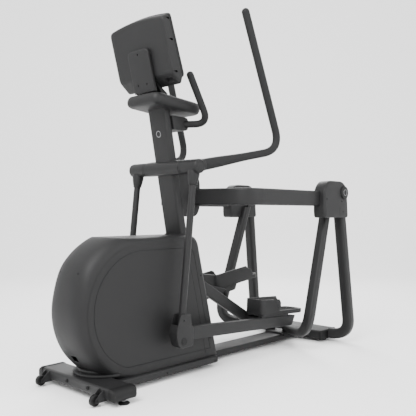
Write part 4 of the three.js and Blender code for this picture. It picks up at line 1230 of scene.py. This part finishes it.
class TRAINER_OT_arms(PieceOperator, bpy.types.Operator):
    """Swing hubs, lower swing tubes and handlebars"""
    bl_idname = "trainer.arms"
    bl_label = "Swing arms"

    root_radius, grip_radius = 27, 19
    taper_share = 0.78  # how far towards its bend a handlebar tapers

    def execute(self, context):
        for side, s in SIDES:
            low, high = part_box(f"swing_tube_{side}")
            pivot = Vector(JOINTS["left_swing"]["pos_m"]) + Vector((0, (low.y + high.y) / 2, 0))
            foot = Vector(JOINTS[f"{side}_level"]["pos_m"])
            self.hub(side, s, pivot, foot)
            self.tube(side, pivot, foot)
            self.handlebar(side, s, pivot)
            finish_node(f"pedal_pivot_{side}", "steel")
        return {"FINISHED"}

    def hub(self, side, s, pivot, foot):
        """A hub with its end cap, the socket of the swing tube and the root of the handlebar."""
        low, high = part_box(f"swing_hub_{side}")
        inner, outer = (low.y, high.y) if s > 0 else (-high.y, -low.y)
        inner, outer = inner / MM, outer / MM - 5
        profile = mm_profile((0, outer - 5.6), (12.9, outer - 5.6), (12.9, inner), (32.6, inner),
                             (35, inner + 2),
                             (35, inner + 9), (33.6, inner + 10), (33.6, inner + 12), (35, inner + 13),
                             (35, outer - 9), (34, outer - 4), (31.5, outer - 1), (29.6, outer),
                             (29.2, outer + 1.8), (27.4, outer + 3.2), (24.5, outer + 3.6),
                             (23.9, outer + 2.6),
                             (22.1, outer + 2.6), (21.5, outer + 3.8), (12, outer + 4.8), (0, outer + 5))
        body = turned(f"swing_hub_shell_{side}", profile, Vector((pivot.x, 0, pivot.z)), (0, s, 0), 72)
        socket = turned("socket", mm_profile(
            (0, 16), (29, 16), (29.6, 30), (28.6, 44), (25.6, 62), (22.6, 76), (21.8, 80), (20.4, 81),
            (20.4, 83),
            (21.6, 84), (21, 87.6), (19, 88.9), (0, 88.9)), pivot, (foot - pivot).normalized(), 56)
        root = turned("root", mm_profile(
            (0, 20), (30, 20), (30.4, 38), (29.4, 50), (28.6, 53.4), (27, 54.9), (0, 54.9)), pivot,
            (self.corner(s) - pivot).normalized(), 56)
        combine(body, [socket, root], "UNION")
        finish_piece(body, "frame_paint", f"{side}_swing", [f"swing_hub_{side}"], angle=32)

    def corner(self, s):
        x, y, z = HANDLE_CORNER
        return at(x, s * y, z)

    def tube(self, side, pivot, foot):
        way = foot - pivot
        length = way.length / MM
        bar = turned(f"swing_tube_bar_{side}", mm_profile((0, 89.3), (15.8, 89.3), (16.5, 90),
                                                          (16.5, length - 2),
                                                          (0, length - 2)), pivot, way.normalized(), 40)
        eye = turned("eye", mm_profile((10.3, -16), (17, -16), (18, -15), (18, 15), (17, 16), (10.3, 16),
                                       (10.3, -16)), foot, (0, 1, 0), 48)
        bore = turned("bore", mm_profile((0, -100), (10.3, -100), (10.3, 100), (0, 100)), foot, (0, 1, 0), 48)
        combine(combine(bar, [eye], "UNION"), [bore])
        finish_piece(bar, "frame_paint", f"{side}_swing", [f"swing_tube_{side}"], angle=32)

    def handlebar(self, side, s, pivot):
        """A bar that tapers from its root to the bend, then stands up to a rounded end with one ring."""
        corner = self.corner(s)
        outward = (corner - pivot).normalized()
        start = pivot + outward * (55.2 * MM)
        x, y, z = HANDLE_TIP
        end = at(x, s * y, z)
        end.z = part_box(f"handlebar_{side}")[1].z - 19.6 * MM
        line = bent([start, corner, end], 95 * MM, 22)
        straight = 12
        path = [start.lerp(line[1], k / straight) for k in range(straight)] + line[1:]
        reach = (line[1] - start).length * self.taper_share
        scales = []
        for i, point in enumerate(path):
            share = min((point - start).length / reach, 1)
            taper = self.root_radius + (self.grip_radius - self.root_radius) * share * share * (3 - 2 * share)
            scales.append(taper / self.grip_radius if i <= straight else 1.0)
        bar = sweep(f"handlebar_bar_{side}", circle(19.8 * MM, 44), path, scales=scales, end_steps=9)
        finish_piece(bar, "grip_rubber", f"{side}_swing", [f"handlebar_{side}"], angle=40)
        up = (end - line[-2]).normalized()
        ring = turned(f"handlebar_ring_{side}", mm_profile((18, -3), (20.4, -2.6), (20.9, -1), (20.9, 1),
                                                           (20.4, 2.6), (18, 3), (18, -3)),
                      end - up * (430 * MM), up, 44)
        finish_piece(ring, "bezel_plastic", f"{side}_swing")


class TRAINER_OT_pedals(PieceOperator, bpy.types.Operator):
    """Pedal arms, boots, pedals, foot mats and inner levers"""
    bl_idname = "trainer.pedals"
    bl_label = "Pedal arms"

    beam_low, beam_high = 4, 64

    def execute(self, context):
        for side, s in SIDES:
            pivot = Vector(JOINTS[f"{side}_level"]["pos_m"])
            pitch = math.radians(ARM_PITCH - (ARM_LIFT if s > 0 else 0))
            place = Matrix.Translation((pivot.x, 0, pivot.z)) @ Matrix.Rotation(pitch, 4, "Y")
            self.beam(side, s, place)
            self.boot(side, s, place)
            self.pedal(side, s, place)
            self.lever(side, s)
        return {"FINISHED"}

    def slab(self, name, corners, s, inner, outer, steps=7):
        return prism(name, mm_outline(corners, 0, steps, False), "xz", *across(s, inner, outer))

    def layer(self, name, corners, low, high, steps=8):
        return prism(name, mm_outline(corners, 0, steps, False), "xy", low * MM, high * MM)

    def put(self, piece, place, slot, body, nodes=(), angle=38):
        """Finishes a piece that was drawn with its body's pivot at the origin."""
        if piece.modifiers:
            keep_shape(piece)
        piece.data.transform(place)
        return finish_piece(piece, slot, body, nodes, angle)

    def beam(self, side, s, place):
        low, high, heel = self.beam_low, self.beam_high, 893
        tube = self.slab(f"pedal_beam_tube_{side}", [(62, low), (heel - 34, low + 4, 16),
                                                     (heel - 3, high, 10), (62, high)], s, 190, 226)
        keep_shape(bevel(tube, 0.0055, 4, 40))
        knuckle, way = Vector((KNUCKLE_X * MM, 0, KNUCKLE_Z * MM)), (0, s, 0)
        carrier = turned("carrier", mm_profile((0, 93), (19, 93), (21, 95), (21, 187), (24, 191), (0, 195)),
                         knuckle, way, 48)
        stub = turned("stub", mm_profile((0, 61), (7, 61), (7, 120), (0, 120)), knuckle, way, 32)
        combine(tube, [carrier, stub], "UNION")
        self.put(tube, place, "frame_paint", f"{side}_arm", [f"pedal_beam_{side}"], 34)
        plug = self.slab(f"pedal_beam_plug_{side}", [(heel - 41, low + 5), (heel - 32, low + 5.5, 8),
                                                     (heel, high - 1, 6),
                                                     (heel - 13, high - 1)], s, 191.5, 224.5)
        self.put(bevel(plug, 0.0012, 2), place, "bezel_plastic", f"{side}_arm")
        cap = turned(f"knuckle_cap_{side}", mm_profile((0, 56.4), (7, 56.4), (12, 57.4), (13, 58.4),
                                                       (13, 61.6), (0, 61.6)), knuckle, way, 36)
        self.put(cap, place, "bezel_plastic", f"{side}_arm")

    def boot(self, side, s, place):
        """A hollow shell round the foot pivot, open at its top for the swing tube."""
        inner, outer = 178, 232
        shape = [(-26, -34, 30), (61.7, -24, 10), (61.7, 64, 3), (50, 70, 12), (43, 92, 14), (38, 124, 7),
                 (-24, 124, 12), (-52, 36, 34)]
        body = self.slab(f"pedal_boot_shell_{side}", shape, s, inner, outer, steps=10)
        keep_shape(bevel(body, 0.009, 6, 40))
        inside = self.slab("inside", [(-26, -24, 14), (101, -24), (101, 200), (-90, 200), (-90, 76),
                                      (-36, 76), (-44, 38, 16)], s, inner + 6, outer - 6)
        bridge = self.slab("bridge", [(36, -20), (61.7, -20), (61.7, 62), (57.7, 62), (39, 20)], s, inner + 3,
                           outer - 3)
        combine(combine(body, [inside]), [bridge], "UNION")
        way = Vector((0, s, 0))
        hole = Vector((-8 * MM, s * outer * MM, 96 * MM))
        combine(body, [screw_hole(hole, way, 4.4 * MM, 4 * MM)])
        self.put(body, place, "shell_plastic", f"{side}_arm", [f"pedal_boot_{side}"], 36)
        socket_screw(f"pedal_boot_screw_{side}", place @ (hole - way * 3.6 * MM), way, 3.8 * MM,
                     f"{side}_arm", 1.8 * MM)
        for label, face, turn in (("outer", outer, s), ("inner", inner, -s)):
            cap = turned(f"boot_cap_{label}_{side}", mm_profile(
                (0, -2), (18, -2), (18, 0.8), (17, 1.8), (14.6, 2), (14, 1.2), (12.6, 1.2), (12, 2.2),
                (0, 2.6)),
                Vector((0, s * face * MM, 0)), (0, turn, 0), 48)
            self.put(cap, place, "bezel_plastic", f"{side}_arm")

    def pedal(self, side, s, place):
        """A foot cup with a tall toe, a long inner wall and a short outer one, and a ribbed foot mat."""
        inner, outer, floor, sole, wall, brim = 94, 222, 72, 24, 8, 160
        start = 595
        tread, end = floor + sole, start + 386
        past, above = end + 40, 220
        faces = sorted((s * inner, s * outer))

        def plan(inset, front, rear):
            return [(start + inset, faces[0] + inset, front), (end - inset, faces[0] + inset, rear),
                    (end - inset, faces[1] - inset, rear), (start + inset, faces[1] - inset, front)]

        def mat_plan(spare):
            front, rear, side_gap = start + 60 - spare, end - 14 + spare, 16 - spare
            return [(front, faces[0] + side_gap, 18), (rear, faces[0] + side_gap, 34),
                    (rear, faces[1] - side_gap, 34), (front, faces[1] - side_gap, 18)]

        levels = [(6, floor), (2.4, floor + 1), (0.4, floor + 4), (0, floor + 8), (0, brim - 2),
                  (0.7, brim - 0.5), (2, brim)]
        shell = loft(f"pedal_cup_{side}", [[Vector((u * MM, v * MM, z * MM)) for u, v in
                                           rounded(plan(inset, 28 - inset, 46 - inset), steps=9)]
                                          for inset, z in levels])
        hollow = self.layer("hollow", [(start + wall, faces[0] + wall, 20), (end + 60, faces[0] + wall),
                                       (end + 60, faces[1] - wall), (start + wall, faces[1] - wall,
                                                                     20)], tread, 200)
        inner_rear, outer_rear = start + 285, start + 104
        trims = [self.slab("trim", [(inner_rear + 62, tread), (past, tread), (past, above),
                                    (inner_rear - 14, above),
                                    (inner_rear - 12, brim + 0.5, 4), (inner_rear + 2, brim - 20, 8),
                                    (inner_rear + 24, brim - 20, 8)], s, inner - 5, inner + 14),
                 self.slab("trim", [(outer_rear + 48, tread), (past, tread), (past, above),
                                    (outer_rear - 14, above),
                                    (outer_rear - 12, brim + 0.5, 4), (outer_rear + 4, brim - 5, 10)], s,
                           outer - 14, outer + 5),
                 self.slab("trim", [(end - 60, tread), (past, tread), (past, above), (end - 60, above)], s,
                           inner - 5, outer + 5)]
        pocket = self.layer("pocket", mat_plan(0.6), tread - 4.4, tread + 5)
        combine(shell, [hollow, *trims, pocket])
        keep_shape(bevel(shell, 0.0016, 3, 40))
        beam_top = self.beam_high + 0.3
        post = self.slab("post", [(KNUCKLE_X - 40, beam_top), (KNUCKLE_X + 200, beam_top),
                                  (KNUCKLE_X + 200, floor + 2), (KNUCKLE_X - 40, floor + 2)], s, 194, 220)
        shell = joined(f"pedal_cup_{side}", [shell, bevel(post, 0.0012, 2)])
        self.put(shell, place, "shell_plastic", f"{side}_arm", [f"pedal_{side}"], 36)
        mat = self.layer(f"foot_mat_{side}", mat_plan(0), tread - 4.2, tread + 0.8)
        count = self.sizes.ribs
        pitch = (faces[1] - faces[0] - 32) / count
        ribs = []
        for i in range(count):
            y = faces[0] + 16 + pitch * (i + 0.5)
            inset = 20 if i in (0, count - 1) else 9
            front, rear = start + 60 + inset, end - 14 - inset
            rib = self.layer("rib", [(front, y - 3.2, 3), (rear, y - 3.2, 3), (rear, y + 3.2, 3),
                                     (front, y + 3.2, 3)], tread - 1, tread + 2.8)
            ribs.append(bevel(rib, 0.001, 2))
        mat = joined(f"foot_mat_{side}", [bevel(mat, 0.0009, 2), *ribs])
        self.put(mat, place, "tread_rubber", f"{side}_arm", [f"pedal_tread_{side}"], 36)

    def lever(self, side, s):
        pivot = Vector(JOINTS[f"{side}_lever_tilt"]["pos_m"])
        slope = math.radians(LEVER_SLOPE - (ARM_LIFT * (1 + LEVER_RATIO) if s > 0 else 0))
        place = Matrix.Translation((pivot.x, 0, pivot.z)) @ Matrix.Rotation(slope, 4, "Y")
        low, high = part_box(f"lever_{side}")
        near, far = (low.y, high.y) if s > 0 else (-high.y, -low.y)
        near, far = near / MM, far / MM
        half, reach = 28.5, 740
        bar = self.slab(f"lever_bar_{side}", [(-reach, -half, 28), (0, -half, 26), (24, 0, 20), (0, half, 26),
                                              (-reach, half, 28)], s, near, far, steps=10)
        keep_shape(bevel(bar, 0.005, 4, 40))
        holes = [turned("bore", mm_profile((0, -200), (r, -200), (r, 200), (0, 200)), Vector((x * MM, 0, 0)),
                        (0, 1, 0), 32) for x, r in ((0, 7.3), (26 - reach, 9.3))]
        combine(bar, holes)
        self.put(bar, place, "frame_paint", f"{side}_lever", [f"lever_{side}"], 34)
        for label, face, turn in (("outer", far, s), ("inner", near, -s)):
            ring = turned(f"lever_ring_{label}_{side}", mm_profile(
                (7.4, -0.6), (19, -0.6), (19, 0.4), (18, 0.9), (8.4, 0.9), (7.4, 0.2), (7.4, -0.6)),
                Vector((0, s * face * MM, 0)), (0, turn, 0), 48)
            self.put(ring, place, "bezel_plastic", f"{side}_lever")


class TRAINER_PT_panel(bpy.types.Panel):
    """Buttons for each group of pieces, and their sizes and colours"""
    bl_label = "Elliptical trainer"
    bl_idname = "TRAINER_PT_panel"
    bl_space_type = "VIEW_3D"
    bl_region_type = "UI"
    bl_category = "Trainer"

    def draw(self, context):
        for group in (context.scene.trainer_sizes, context.scene.trainer_colours):
            box = self.layout.box()
            for name in group.__annotations__:
                box.prop(group, name)
        for operator in OPERATORS:
            self.layout.operator(operator.bl_idname)


OPERATORS = (TRAINER_OT_stage, TRAINER_OT_base, TRAINER_OT_mast, TRAINER_OT_console, TRAINER_OT_tray,
             TRAINER_OT_hoop, TRAINER_OT_frames, TRAINER_OT_shroud, TRAINER_OT_drive, TRAINER_OT_arms,
             TRAINER_OT_pedals)
CLASSES = (TrainerSizes, TrainerColours, *OPERATORS, TRAINER_PT_panel)


def register():
    for cls in CLASSES:
        bpy.utils.register_class(cls)
    bpy.types.Scene.trainer_sizes = bpy.props.PointerProperty(type=TrainerSizes)
    bpy.types.Scene.trainer_colours = bpy.props.PointerProperty(type=TrainerColours)


def unregister():
    del bpy.types.Scene.trainer_colours
    del bpy.types.Scene.trainer_sizes
    for cls in reversed(CLASSES):
        bpy.utils.unregister_class(cls)


def main():
    register()
    for operator in OPERATORS:
        group, name = operator.bl_idname.split(".")
        getattr(getattr(bpy.ops, group), name)()


if __name__ == "__main__":
    main()
